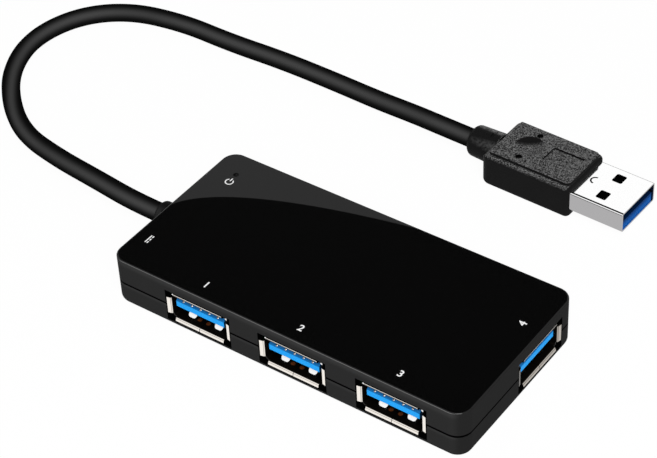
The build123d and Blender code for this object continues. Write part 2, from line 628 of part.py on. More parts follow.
with BuildPart() as socket_insulator:
    with BuildSketch(Plane.XY.offset(-TONGUE_ROOT_DEPTH)):
        RectangleRounded(SOCKET_INNER_WIDTH - 2 * FIT, SOCKET_INNER_HEIGHT - 2 * FIT, SOCKET_CORNER_R)
    extrude(amount=TONGUE_ROOT_DEPTH - SOCKET_DEPTH)
    with BuildSketch(depth_plane(0)):
        Polygon(
            (TONGUE_FRONT_DEPTH, TONGUE_FLAT),
            (TONGUE_ROOT_DEPTH, TONGUE_FLAT),
            (TONGUE_ROOT_DEPTH, TONGUE_TOP),
            (TONGUE_FRONT_DEPTH + TONGUE_CHAMFER, TONGUE_TOP),
            (TONGUE_FRONT_DEPTH, TONGUE_TOP - TONGUE_CHAMFER),
            align=None,
        )
    extrude(amount=TONGUE_WIDTH / 2, both=True)
    contact_row(POWER_CONTACT_X, POWER_CONTACT_WIDTH, POWER_PATH, FIT, Mode.SUBTRACT)
    contact_row(DATA_CONTACT_X, DATA_CONTACT_WIDTH, DATA_PATH, FIT, Mode.SUBTRACT)
    for x in DATA_CONTACT_X:
        nose = (x, TONGUE_TOP - TONGUE_CHAMFER / 2, -TONGUE_FRONT_DEPTH - TONGUE_CHAMFER / 2)
        with BuildSketch(Plane(origin=nose, x_dir=(1, 0, 0), z_dir=(0, 1, 1))):
            Circle(SIGHT_HOLE_R)
        extrude(amount=-SIGHT_HOLE_DEPTH, mode=Mode.SUBTRACT)

for number, mouth in enumerate(MOUTHS, 1):
    for piece, local in (
        ("shell", socket_shell),
        ("insulator", socket_insulator),
        ("power_contacts", socket_power_contacts),
        ("data_contacts", socket_data_contacts),
    ):
        finish(f"socket_{number}_{piece}", local.part.moved(mouth.location))


# ================================================================ power inlet, made with its mouth on XY
BODY_START = WALL + FIT
LEAF_LEVEL = -JACK_BORE_R - JACK_STRIP - FIT
LEAF_PATH = [
    (JACK_LEAF_START, LEAF_LEVEL),
    (JACK_LEAF_START + JACK_FOOT, LEAF_LEVEL + JACK_STRIP + JACK_LEAF_RISE),
    (JACK_LEAF_START + 2 * JACK_FOOT, LEAF_LEVEL),
    (JACK_LENGTH + JACK_STRIP, LEAF_LEVEL),
    (JACK_LENGTH + JACK_STRIP, -JACK_HEIGHT / 2),
    (JACK_LENGTH + JACK_FOOT, -JACK_HEIGHT / 2),
]
PIN_TAIL_X = JACK_WIDTH / 2 - JACK_TAIL_WIDTH / 2

with BuildPart() as dc_jack_body:
    with BuildSketch(Plane.XY.offset(-BODY_START)):
        Rectangle(JACK_WIDTH, JACK_HEIGHT)
    extrude(amount=BODY_START - JACK_LENGTH)
    chamfer(dc_jack_body.edges().filter_by(Axis.Z).group_by(Axis.Y)[-1], JACK_STRIP)
    with BuildSketch(Plane.XY.offset(-BODY_START)):
        Circle(JACK_NOSE_R)
    extrude(amount=BODY_START - JACK_NOSE_RECESS)
    with BuildSketch(Plane.XY.offset(-JACK_NOSE_RECESS)):
        Circle(JACK_BORE_R)
    extrude(amount=JACK_NOSE_RECESS - JACK_BORE_DEPTH, mode=Mode.SUBTRACT)
    with BuildSketch(Plane.XY.offset(-JACK_LENGTH)):
        Circle(JACK_PIN_R + FIT)
    extrude(amount=JACK_LENGTH - JACK_BORE_DEPTH, mode=Mode.SUBTRACT)
    with BuildSketch(depth_plane(0)):
        with Locations(((JACK_LEAF_START + JACK_BORE_DEPTH) / 2, (LEAF_LEVEL - FIT) / 2)):
            Rectangle(JACK_BORE_DEPTH - JACK_LEAF_START + 2 * FIT, -LEAF_LEVEL + FIT)
    extrude(amount=JACK_LEAF_WIDTH / 2 + FIT, both=True, mode=Mode.SUBTRACT)
    leaf_slot = ribbon(depth_plane(0), LEAF_PATH, JACK_STRIP, FIT)
    extrude(leaf_slot, amount=JACK_LEAF_WIDTH / 2 + FIT, both=True, mode=Mode.SUBTRACT)
finish("dc_jack_body", dc_jack_body.part.moved(JACK_FACE.location))

with BuildPart() as dc_jack_spring:
    extrude(ribbon(depth_plane(0), LEAF_PATH, JACK_STRIP), amount=JACK_LEAF_WIDTH / 2, both=True)
finish("dc_jack_spring", dc_jack_spring.part.moved(JACK_FACE.location))

with BuildPart() as dc_jack_pin:
    with BuildSketch(Plane.XY.offset(-JACK_PIN_RECESS)):
        Circle(JACK_PIN_R)
    extrude(amount=JACK_PIN_RECESS - JACK_LENGTH - FIT)
    fillet(dc_jack_pin.faces().sort_by(Axis.Z)[-1].edges(), JACK_PIN_R / 2)
    with BuildSketch(Plane.XY.offset(-JACK_LENGTH - FIT)):
        Circle(JACK_TAIL_WIDTH / 2 + FIT)
        with Locations((PIN_TAIL_X / 2, 0)):
            Rectangle(PIN_TAIL_X + JACK_TAIL_WIDTH, JACK_TAIL_WIDTH)
        with Locations((PIN_TAIL_X, -JACK_HEIGHT / 4)):
            Rectangle(JACK_TAIL_WIDTH, JACK_HEIGHT / 2)
    extrude(amount=-JACK_STRIP)
    with BuildSketch(Plane.XY.offset(-JACK_LENGTH - FIT)):
        with Locations((PIN_TAIL_X, (JACK_STRIP - JACK_HEIGHT) / 2)):
            Rectangle(JACK_TAIL_WIDTH, JACK_STRIP)
    extrude(amount=-JACK_FOOT)
finish("dc_jack_pin", dc_jack_pin.part.moved(JACK_FACE.location))


# ===================================================== cord's entry: strain relief, jacket end and wires
with BuildPart() as strain_relief:
    with BuildSketch(Plane.XY.offset(FIT)):
        Circle(GLAND_RING_R)
    extrude(amount=GLAND_RING_LENGTH - FIT)
    fillet(strain_relief.faces().sort_by(Axis.Z)[-1].edges(), GLAND_RING_EDGE_R)
    with BuildSketch(Plane.XY.offset(FIT)):
        Circle(GLAND_NECK_R)
    extrude(amount=-BODY_START - FIT)
    with BuildSketch(Plane.XY.offset(-BODY_START)):
        Circle(GLAND_FLANGE_R)
    extrude(amount=-GLAND_FLANGE_LENGTH)
    with BuildSketch(Plane.XY.offset(GLAND_RING_LENGTH)):
        Circle(CORD_R + FIT)
    extrude(amount=-GLAND_RING_LENGTH - CLAMP_BACK, mode=Mode.SUBTRACT)
    for distance in GLAND_SLOT_PLACES:
        with BuildSketch(Plane.XY.offset(distance)):
            with PolarLocations(GLAND_RING_R, 4, 45):
                Rectangle(2 * GLAND_SLOT_DEPTH, GLAND_SLOT_HEIGHT)
        extrude(amount=GLAND_SLOT_WIDTH / 2, both=True, mode=Mode.SUBTRACT)
finish("strain_relief", strain_relief.part.moved(CORD_FACE.location))

with BuildPart() as cord_inner_end:
    with BuildSketch(Plane.XY.offset(GLAND_RING_LENGTH)):
        Circle(CORD_R)
    extrude(amount=-GLAND_RING_LENGTH - CLAMP_BACK - CORD_TAIL)
finish("cord_inner_end", cord_inner_end.part.moved(CORD_FACE.location))

WIRE_PAD_X = -LENGTH / 2 + WIRE_PAD_INSET
WIRE_ANGLES = (-67.5, -22.5, 67.5, 22.5)        # round the jacket's end, innermost solder pad first
with BuildPart() as cable_wires:
    start_x = -LENGTH / 2 + CLAMP_BACK + CORD_TAIL
    for side in (-1, 1):
        for place, angle in enumerate(WIRE_ANGLES[: WIRE_COUNT // 2]):
            wire_y = CORD_Y + side * WIRE_RING_R * cos(radians(angle))
            wire_z = CORD_Z + WIRE_RING_R * sin(radians(angle))
            pad_y = CORD_Y + side * (place + 0.5) * WIRE_PITCH
            pad_z = BOARD_TOP_Z + WIRE_R
            with BuildLine() as route:
                Polyline(
                    (start_x, wire_y, wire_z),
                    (start_x + WIRE_STRAIGHT, wire_y, wire_z),
                    (WIRE_PAD_X - WIRE_STRAIGHT, pad_y, pad_z),
                    (WIRE_PAD_X, pad_y, pad_z),
                )
            with BuildSketch(Plane(origin=(start_x, wire_y, wire_z), z_dir=(1, 0, 0))):
                Circle(WIRE_R)
            sweep(path=route.wires()[0], transition=Transition.RIGHT)
finish("cable_wires", cable_wires.part)


# ===================================================== plug, made along X with its moulding's front at 0
def plug_section(across):
    """Lengthwise upright section of the plug, at a distance across from its middle."""
    return Plane(origin=(0, across, 0), x_dir=(1, 0, 0), z_dir=(0, -1, 0))


def plug_contacts(places, width, path, grow=0.0, mode=Mode.ADD):
    """A row of equal contacts, or with grow and Mode.SUBTRACT the slots that they lie in."""
    for across in places:
        section = ribbon(plug_section(across), path, CONTACT_THICKNESS, grow)
        extrude(section, amount=width / 2 + grow, both=True, mode=mode)


with BuildPart() as plug_shell:
    with BuildSketch(Plane.YZ.offset(-PLUG_BURIED)):
        RectangleRounded(PLUG_SHELL_WIDTH, PLUG_SHELL_HEIGHT, PLUG_SHELL_CORNER_R)
        RectangleRounded(PLUG_INNER_W, PLUG_INNER_H, PLUG_SHELL_CORNER_R - PLUG_SHEET, mode=Mode.SUBTRACT)
    extrude(amount=PLUG_BURIED + PLUG_REACH)
    with BuildSketch(Plane.XY):
        with Locations((PLUG_REACH - WINDOW_TO_TIP, 0)):
            with GridLocations(1, WINDOW_SPACING, 1, 2):
                RectangleRounded(WINDOW_LENGTH, WINDOW_WIDTH, WINDOW_CORNER_R)
    extrude(amount=PLUG_SHELL_HEIGHT, both=True, mode=Mode.SUBTRACT)
    with BuildSketch(Plane.XY):
        with Locations((CRESCENT_U, 0)):
            Circle(CRESCENT_R)
            Circle(CRESCENT_R - CRESCENT_WIDTH, mode=Mode.SUBTRACT)
            Rectangle(CRESCENT_R, 2 * CRESCENT_R, align=(Align.MIN, Align.CENTER), mode=Mode.SUBTRACT)
    extrude(amount=PLUG_SHELL_HEIGHT, mode=Mode.SUBTRACT)
    with BuildSketch(Plane.XY):
        Rectangle(4 * PLUG_REACH, SHEET_SEAM)
    extrude(amount=-PLUG_SHELL_HEIGHT, mode=Mode.SUBTRACT)
finish("plug_shell", plug_shell.part.moved(PLUG_FRAME.location))

PLUG_REAR = -PLUG_BURIED - PLUG_TAIL_LENGTH
POWER_START, POWER_END = PLUG_POWER_SPAN
PLUG_POWER_PATH = [
    (PLUG_REAR, PLUG_TONGUE_TOP - DATA_LEVEL),
    (POWER_START - DATA_LEVEL, PLUG_TONGUE_TOP - DATA_LEVEL),
    (POWER_START, PLUG_TONGUE_TOP - CONTACT_THICKNESS),
    (POWER_END, PLUG_TONGUE_TOP - CONTACT_THICKNESS),
]
PLUG_DATA_PATH = [
    (PLUG_REAR, PLUG_TONGUE_TOP + PLUG_DATA_RISE / 2),
    (PLUG_BLOCK_U + PLUG_DATA_RISE, PLUG_TONGUE_TOP + PLUG_DATA_RISE / 2),
    (PLUG_BLOCK_U + 3 * PLUG_DATA_RISE, PLUG_TONGUE_TOP + PLUG_DATA_RISE),
    (PLUG_DATA_TIP_U, PLUG_TONGUE_TOP + FIT),
]

with BuildPart() as plug_power_contacts:
    plug_contacts(POWER_CONTACT_X, PLUG_POWER_WIDTH, PLUG_POWER_PATH)
finish("plug_power_contacts", plug_power_contacts.part.moved(PLUG_FRAME.location))

with BuildPart() as plug_data_contacts:
    plug_contacts(DATA_CONTACT_X, DATA_CONTACT_WIDTH, PLUG_DATA_PATH)
finish("plug_data_contacts", plug_data_contacts.part.moved(PLUG_FRAME.location))

with BuildPart() as plug_insulator:
    with BuildSketch(Plane.YZ.offset(-PLUG_BURIED)):
        Rectangle(PLUG_INNER_W - 2 * PLUG_SHEET, PLUG_INNER_H - 2 * FIT)
    extrude(amount=PLUG_BURIED + PLUG_BLOCK_U)
    tongue_height = PLUG_TONGUE_HEIGHT - FIT
    with BuildSketch(Plane.YZ.offset(PLUG_BLOCK_U)):
        with Locations((0, PLUG_TONGUE_TOP - tongue_height / 2)):
            Rectangle(PLUG_INNER_W - 2 * PLUG_SHEET, tongue_height)
    extrude(amount=PLUG_REACH - PLUG_TONGUE_RECESS - PLUG_BLOCK_U)
    plug_contacts(POWER_CONTACT_X, PLUG_POWER_WIDTH, PLUG_POWER_PATH, FIT, Mode.SUBTRACT)
    plug_contacts(DATA_CONTACT_X, DATA_CONTACT_WIDTH, PLUG_DATA_PATH, FIT, Mode.SUBTRACT)
finish("plug_insulator", plug_insulator.part.moved(PLUG_FRAME.location))

INNER_FRONT = -PLUG_BURIED - FIT
with BuildPart() as plug_inner_mould:
    with BuildSketch(Plane.YZ.offset(INNER_FRONT)):
        RectangleRounded(INNER_MOULD_WIDTH, INNER_MOULD_HEIGHT, PLUG_SHELL_CORNER_R)
    extrude(amount=-INNER_MOULD_LENGTH)
    with BuildSketch(Plane.YZ.offset(INNER_FRONT)):
        Rectangle(INNER_MOULD_WIDTH - 2 * PLUG_SHEET, PLUG_TONGUE_HEIGHT + CONTACT_THICKNESS)
    extrude(amount=-PLUG_TAIL_LENGTH, mode=Mode.SUBTRACT)
finish("plug_inner_mould", plug_inner_mould.part.moved(PLUG_FRAME.location))

with BuildPart() as plug_overmould:
    with BuildSketch(Plane.XY.offset(-PLUG_Z)) as plan:
        with Locations((-BODY_LENGTH / 2, 0)):
            Rectangle(BODY_LENGTH, BODY_WIDTH)
        fillet(plan.vertices().group_by(Axis.X)[0], BODY_BACK_R)
        fillet(plan.vertices().group_by(Axis.X)[-1], BODY_FRONT_R)
    extrude(amount=BODY_HEIGHT)
    flats = plug_overmould.faces().filter_by(Axis.Z)
    fillet(flats.edges(), BODY_EDGE_R)
    with BuildSketch(plug_section(0)) as side_view:
        with Locations((0, -PLUG_Z)):
            Rectangle(2 * BODY_LENGTH, BODY_HEIGHT, align=(Align.CENTER, Align.MIN))
        fillet(side_view.vertices().group_by(Axis.X)[0], BODY_TAIL_R)
    extrude(amount=BODY_WIDTH, both=True, mode=Mode.INTERSECT)
    with BuildSketch(Plane.XY) as pad:
        with Locations((-PAD_FRONT_SETBACK, 0)):
            pad_length = BODY_LENGTH - PAD_FRONT_SETBACK - PAD_BACK_SETBACK
            Rectangle(pad_length, PAD_WIDTH, align=(Align.MAX, Align.CENTER))
        fillet(pad.vertices().group_by(Axis.X)[0], PAD_BACK_R)
        fillet(pad.vertices().group_by(Axis.X)[-1], PAD_FRONT_R)
    extrude(amount=PLUG_Z)
    with BuildSketch(Plane.XZ):
        Polygon(
            (-BODY_LENGTH - NECK_LENGTH, 0),
            (-BODY_LENGTH + BODY_EDGE_R, 0),
            (-BODY_LENGTH + BODY_EDGE_R, NECK_ROOT_R),
            (-BODY_LENGTH, NECK_ROOT_R),
            (-BODY_LENGTH - NECK_LENGTH, NECK_R),
            align=None,
        )
    revolve(axis=Axis.X)
    fillet(plug_overmould.faces().sort_by(Axis.X)[0].edges(), NECK_EDGE_R)
    with BuildSketch(Plane.YZ.offset(-BODY_LENGTH - NOTCH_SETBACK)):
        with PolarLocations(NECK_ROOT_R, 2, 90):
            Rectangle(2 * NOTCH_DEPTH, NOTCH_SPAN)
    extrude(amount=NOTCH_WIDTH / 2, both=True, mode=Mode.SUBTRACT)
    with BuildSketch(Plane.YZ):
        RectangleRounded(PLUG_SHELL_WIDTH + 2 * FIT, PLUG_SHELL_HEIGHT + 2 * FIT, PLUG_SHELL_CORNER_R)
    extrude(amount=INNER_FRONT, mode=Mode.SUBTRACT)
    with BuildSketch(Plane.YZ.offset(INNER_FRONT)):
        RectangleRounded(INNER_MOULD_WIDTH + 2 * FIT, INNER_MOULD_HEIGHT + 2 * FIT, PLUG_SHELL_CORNER_R)
    extrude(amount=-INNER_MOULD_LENGTH - FIT, mode=Mode.SUBTRACT)
    ball_r = (THUMB_R**2 + THUMB_DEPTH**2) / (2 * THUMB_DEPTH)
    with Locations((THUMB_U, THUMB_V, PLUG_Z - THUMB_DEPTH + ball_r)):
        Sphere(ball_r, mode=Mode.SUBTRACT)
    with BuildSketch(Plane.XY.offset(PLUG_Z)):
        with Locations((THUMB_U, PIN_MARK_V), (THUMB_U, -PIN_MARK_V)):
            Circle(PIN_MARK_R)
    extrude(amount=-PIN_MARK_DEPTH, mode=Mode.SUBTRACT)
    with BuildSketch(Plane.XY.offset(PLUG_Z)):
        with BuildLine():
            FilletPolyline(*GROOVE_PATH, radius=GROOVE_CORNER_R)
            offset(amount=GROOVE_WIDTH, side=Side.RIGHT)
        make_face()
    extrude(amount=-GROOVE_DEPTH, mode=Mode.SUBTRACT)
finish("plug_overmould", plug_overmould.part.moved(PLUG_FRAME.location))


# ======================================================= cord, from the strain relief to the plug's neck
def bend_radii(points):
    """The largest arc that each corner of the route leaves room for."""
    radii = []
    for before, corner, after in zip(points, points[1:], points[2:]):
        shorter = min((corner - before).length, (after - corner).length)
        turn = radians((corner - before).get_angle(after - corner))
        radii.append(CORD_BEND * shorter / tan(turn / 2))
    return radii


cord_points = [CORD_FACE.from_local_coords(Vector(0, 0, GLAND_RING_LENGTH))]
cord_points += [Vector(*point) for point in CORD_ROUTE]
cord_points.append(PLUG_FRAME.from_local_coords(Vector(-BODY_LENGTH - NECK_LENGTH - PLUG_LEAD, 0, 0)))
cord_points.append(PLUG_FRAME.from_local_coords(Vector(-BODY_LENGTH - NECK_LENGTH, 0, 0)))
cord_radii = bend_radii(cord_points)

with BuildPart() as cord:
    with BuildLine() as cord_path:
        FilletPolyline(*cord_points, radius=cord_radii)
    with BuildSketch(Plane(origin=cord_points[0], z_dir=(-1, 0, 0))):
        Circle(CORD_R)
    sweep(path=cord_path.wires()[0])
finish("cord", cord.part)
print("cord bend radii, mm:", [round(radius, 1) for radius in cord_radii])
print("cord length, mm:", round(cord_path.wires()[0].length, 1))
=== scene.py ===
"""Looks of a four-socket hub: a black two-shell casing, four blue sockets and a short cord with its plug.

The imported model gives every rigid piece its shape. This script gives each its finish, lays the cord as one
smooth curve, prints the socket numbers and sets up a small studio. Lengths are in metres unless a name
ends in _mm. A value named _ramp says where a factor is 0 and where it is 1.
"""
import logging
import math
from dataclasses import dataclass, field, replace
from enum import Enum
from typing import Any

import bmesh
import bpy
from mathutils import Euler, Matrix, Vector


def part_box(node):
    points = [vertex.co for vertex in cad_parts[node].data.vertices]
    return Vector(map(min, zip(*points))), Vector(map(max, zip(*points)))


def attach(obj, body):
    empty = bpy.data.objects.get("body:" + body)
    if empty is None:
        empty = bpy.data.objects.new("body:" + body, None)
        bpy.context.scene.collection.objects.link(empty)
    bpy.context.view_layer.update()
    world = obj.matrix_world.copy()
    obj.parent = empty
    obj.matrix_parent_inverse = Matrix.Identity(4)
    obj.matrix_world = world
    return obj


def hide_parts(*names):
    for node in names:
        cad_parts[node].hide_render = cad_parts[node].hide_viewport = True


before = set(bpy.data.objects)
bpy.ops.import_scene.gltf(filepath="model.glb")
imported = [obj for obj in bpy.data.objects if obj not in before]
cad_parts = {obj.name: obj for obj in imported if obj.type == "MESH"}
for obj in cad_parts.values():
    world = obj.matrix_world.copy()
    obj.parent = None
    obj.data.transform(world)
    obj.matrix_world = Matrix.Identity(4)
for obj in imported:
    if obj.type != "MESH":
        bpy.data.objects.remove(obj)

LOG = logging.getLogger("hub")
BODY = "root"
MM = 0.001

Place = tuple[float, float, float]
Box = tuple[Place, Place]
Ramp = tuple[float, float]
Spot = tuple[float, float]
Tree = bpy.types.NodeTree
Output = bpy.types.NodeSocket

UP: Place = (0.0, 0.0, 1.0)
DOWN: Place = (0.0, 0.0, -1.0)
RIGHT: Place = (1.0, 0.0, 0.0)
BACK: Place = (0.0, 1.0, 0.0)
FORWARD: Place = (0.0, -1.0, 0.0)

# Numbers of a Mix node's two colour inputs and of its colour output.
MIX_UNDER, MIX_OVER, MIX_RESULT = 6, 7, 2
# Finer octaves in every noise, and the share of a spot's radius inside which it is full.
NOISE_DETAIL = 2.0
SPOT_CORE = 0.6

# The casing's packed box.
CASING_LOW, CASING_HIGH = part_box("upper_shell")


def middle_of(node: str) -> Place:
    """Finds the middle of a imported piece's box.

    Args:
        node: Name of the piece.

    Returns:
        The middle.
    """
    low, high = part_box(node)
    return tuple((start + end) / 2 for start, end in zip(low, high))


def linear(hex_colour: str) -> tuple[float, float, float, float]:
    """Turns an sRGB hex colour into linear RGBA.

    Args:
        hex_colour: Colour as "#rrggbb".

    Returns:
        Linear red, green, blue and an alpha of 1.
    """
    channels = [int(hex_colour[place:place + 2], 16) / 255 for place in (1, 3, 5)]
    red, green, blue = [
        value / 12.92 if value <= 0.04045 else ((value + 0.055) / 1.055) ** 2.4 for value in channels
    ]
    return red, green, blue, 1.0


def blank_tree(owner: bpy.types.Material | bpy.types.World) -> Tree:
    """Turns on the nodes of a material or world and empties them.

    Args:
        owner: The material or world.

    Returns:
        Its node tree.
    """
    owner.use_nodes = True
    owner.node_tree.nodes.clear()
    return owner.node_tree


def add_node(tree: Tree, kind: str, settings: dict[str | int, Any]) -> bpy.types.Node:
    """Adds one node with its settings and links.

    Args:
        tree: Node tree that the node joins.
        kind: Blender's name for the node's type.
        settings: Values by the name of a property, or by the name or number of an input. An input takes a
            plain value, a hex colour or the output to link into it.

    Returns:
        The new node.
    """
    node = tree.nodes.new(kind)
    for name, value in settings.items():
        if isinstance(value, Output):
            tree.links.new(value, node.inputs[name])
        elif isinstance(name, str) and name in node.bl_rna.properties:
            setattr(node, name, value)
        else:
            node.inputs[name].default_value = linear(value) if isinstance(value, str) else value
    return node


# ---------------------------------------------------------------- paint
class Join(Enum):
    """How factors join into one."""

    ALL = "MULTIPLY"
    ANY = "MAXIMUM"
    LEAST = "MINIMUM"
    LESS = "SUBTRACT"


def join(tree: Tree, rule: Join, *factors: Output) -> Output:
    """Joins factors into one, from the first to the last.

    Args:
        tree: Node tree of the factors.
        rule: How they join.
        *factors: The factors.

    Returns:
        The joined factor.
    """
    joined, *others = factors
    for factor in others:
        joined = add_node(tree, "ShaderNodeMath", {"operation": rule.value, 0: joined, 1: factor}).outputs[0]
    return joined


@dataclass
class Paint:
    """What varies over a surface, built in one node tree: colours, and factors from 0 to 1."""

    tree: Tree
    place: Output = field(init=False)
    normal: Output = field(init=False)

    def __post_init__(self) -> None:
        """Adds the node that gives the place in the part's own space and the normal."""
        coordinates = add_node(self.tree, "ShaderNodeTexCoord", {})
        self.place = coordinates.outputs["Object"]
        self.normal = coordinates.outputs["Normal"]

    def grain(self, size_mm: float) -> Output:
        """Makes noise in the part's own space.

        Args:
            size_mm: Size of one grain.

        Returns:
            A factor of about 0.5 on average.
        """
        return add_node(self.tree, "ShaderNodeTexNoise", {
            "Scale": 1 / (size_mm * MM), "Detail": NOISE_DETAIL, "Vector": self.place,
        }).outputs["Fac"]

    def measured(self, vector: Output, direction: Place, ramp: Ramp, origin: float) -> Output:
        """Measures a vector along a direction and turns that into a smooth ramp.

        Args:
            vector: The place or the normal.
            direction: Unit vector.
            ramp: Measures at which the factor is 0 and 1.
            origin: Measure that the ramp counts from.

        Returns:
            The factor.
        """
        low, high = ramp
        measure = add_node(self.tree, "ShaderNodeVectorMath", {
            "operation": "DOT_PRODUCT", 0: vector, 1: direction,
        })
        return add_node(self.tree, "ShaderNodeMapRange", {
            "interpolation_type": "SMOOTHSTEP", "From Min": origin + low, "From Max": origin + high,
            "Value": measure.outputs["Value"],
        }).outputs["Result"]

    def along(self, direction: Place, ramp: Ramp, origin: float = 0.0) -> Output:
        """Ramp of how far a place lies along a direction, counted from an origin."""
        return self.measured(self.place, direction, ramp, origin)

    def facing(self, direction: Place, ramp: Ramp) -> Output:
        """Ramp of how squarely the surface faces a direction."""
        return self.measured(self.normal, direction, ramp, 0.0)

    def near(self, places: tuple[Place, ...], radius: float) -> Output:
        """Marks what is close to any of some places.

        Args:
            places: The places, in the part's space.
            radius: Where the factor reaches 0.

        Returns:
            A factor of 1 close to a place.
        """
        spots: list[Output] = []
        for place in places:
            distance = add_node(self.tree, "ShaderNodeVectorMath", {
                "operation": "DISTANCE", 0: self.place, 1: place,
            })
            spots.append(add_node(self.tree, "ShaderNodeMapRange", {
                "From Min": radius, "From Max": SPOT_CORE * radius, "Value": distance.outputs["Value"],
            }).outputs["Result"])
        return self.join(Join.ANY, *spots)

    def within(self, boxes: tuple[Box, ...], fade: float) -> Output:
        """Marks what is inside any of some boxes.

        Args:
            boxes: Lowest and highest corner of each, in the part's space.
            fade: How far outside a box the factor reaches 0.

        Returns:
            A factor of 1 inside the boxes.
        """
        kind = "ShaderNodeVectorMath"
        gaps: list[Output] = []
        for low, high in boxes:
            raised = add_node(self.tree, kind, {"operation": "MAXIMUM", 0: self.place, 1: low})
            kept = add_node(self.tree, kind, {"operation": "MINIMUM", 0: raised.outputs[0], 1: high})
            gap = add_node(self.tree, kind, {"operation": "DISTANCE", 0: self.place, 1: kept.outputs[0]})
            gaps.append(gap.outputs["Value"])
        return add_node(self.tree, "ShaderNodeMapRange", {
            "From Min": fade, "From Max": 0.0, "Value": self.join(Join.LEAST, *gaps),
        }).outputs["Result"]

    def join(self, rule: Join, *factors: Output) -> Output:
        """Joins factors into one, from the first to the last."""
        return join(self.tree, rule, *factors)

    def layered(self, colour: Output | str, *layers: tuple[Output, Output | str]) -> Output:
        """Lays colours over each other.

        Args:
            colour: The lowest colour, in hex or as an output.
            *layers: A factor and a colour for each layer, the lowest first. It covers where its factor is 1.

        Returns:
            The colour that shows.
        """
        for factor, cover in layers:
            colour = add_node(self.tree, "ShaderNodeMix", {
                "data_type": "RGBA", 0: factor, MIX_UNDER: colour, MIX_OVER: cover,
            }).outputs[MIX_RESULT]
        return colour


# ---------------------------------------------------------------- finishes
@dataclass(frozen=True)
class Finish:
    """A finish with one colour and roughness, a fine grain and a slight unevenness."""

    name: str
    colour: str
    roughness: float
    metallic: float = 0.0
    specular: float = 0.5
    coat_roughness: float = 0.03
    grain_mm: float = 0.4
    grain_depth_mm: float = 0.0
    mottle: float = 0.0
    mottle_grains: float = 12.0

    def shared(self) -> bpy.types.Material:
        """The finish's material, built the first time that it is asked for."""
        return bpy.data.materials.get(self.name) or self.material()

    def material(self) -> bpy.types.Material:
        """Builds the material with its node tree.

        Returns:
            The new material.
        """
        made = bpy.data.materials.new(self.name)
        tree = blank_tree(made)
        shader = add_node(tree, "ShaderNodeBsdfPrincipled", {
            "Base Color": self.colour,
            "Roughness": self.roughness,
            "Metallic": self.metallic,
            "Specular IOR Level": self.specular,
            "Coat Roughness": self.coat_roughness,
        })
        for name, output in self.surface(Paint(tree)).items():
            tree.links.new(output, shader.inputs[name])
        add_node(tree, "ShaderNodeOutputMaterial", {"Surface": shader.outputs["BSDF"]})
        return made

    def surface(self, paint: Paint) -> dict[str, Output]:
        """What varies over the surface: a bump and a slight unevenness of roughness.

        Args:
            paint: What the factors and colours are built with.

        Returns:
            The outputs, by the name of the shader's input.
        """
        varied: dict[str, Output] = {}
        if self.grain_depth_mm:
            varied["Normal"] = self.pressed(paint, paint.grain(self.grain_mm))
        if self.mottle:
            varied["Roughness"] = self.uneven(paint, paint.grain(self.mottle_grains * self.grain_mm))
        return varied

    def pressed(self, paint: Paint, height: Output, share: Output | float = 1.0) -> Output:
        """Presses a pattern into the surface, as deep as the finish's grain.

        Args:
            paint: What the nodes are built with.
            height: The pattern.
            share: Share of the depth that is kept.

        Returns:
            The normal.
        """
        return add_node(paint.tree, "ShaderNodeBump", {
            "Distance": self.grain_depth_mm * MM, "Strength": share, "Height": height,
        }).outputs["Normal"]

    def uneven(self, paint: Paint, factor: Output) -> Output:
        """Lets the roughness wander to either side of the finish's own.

        Args:
            paint: What the nodes are built with.
            factor: 0 where the surface is smoothest, 1 where it is roughest.

        Returns:
            The roughness.
        """
        return add_node(paint.tree, "ShaderNodeMapRange", {
            "To Min": self.roughness - self.mottle, "To Max": self.roughness + self.mottle, "Value": factor,
        }).outputs["Result"]


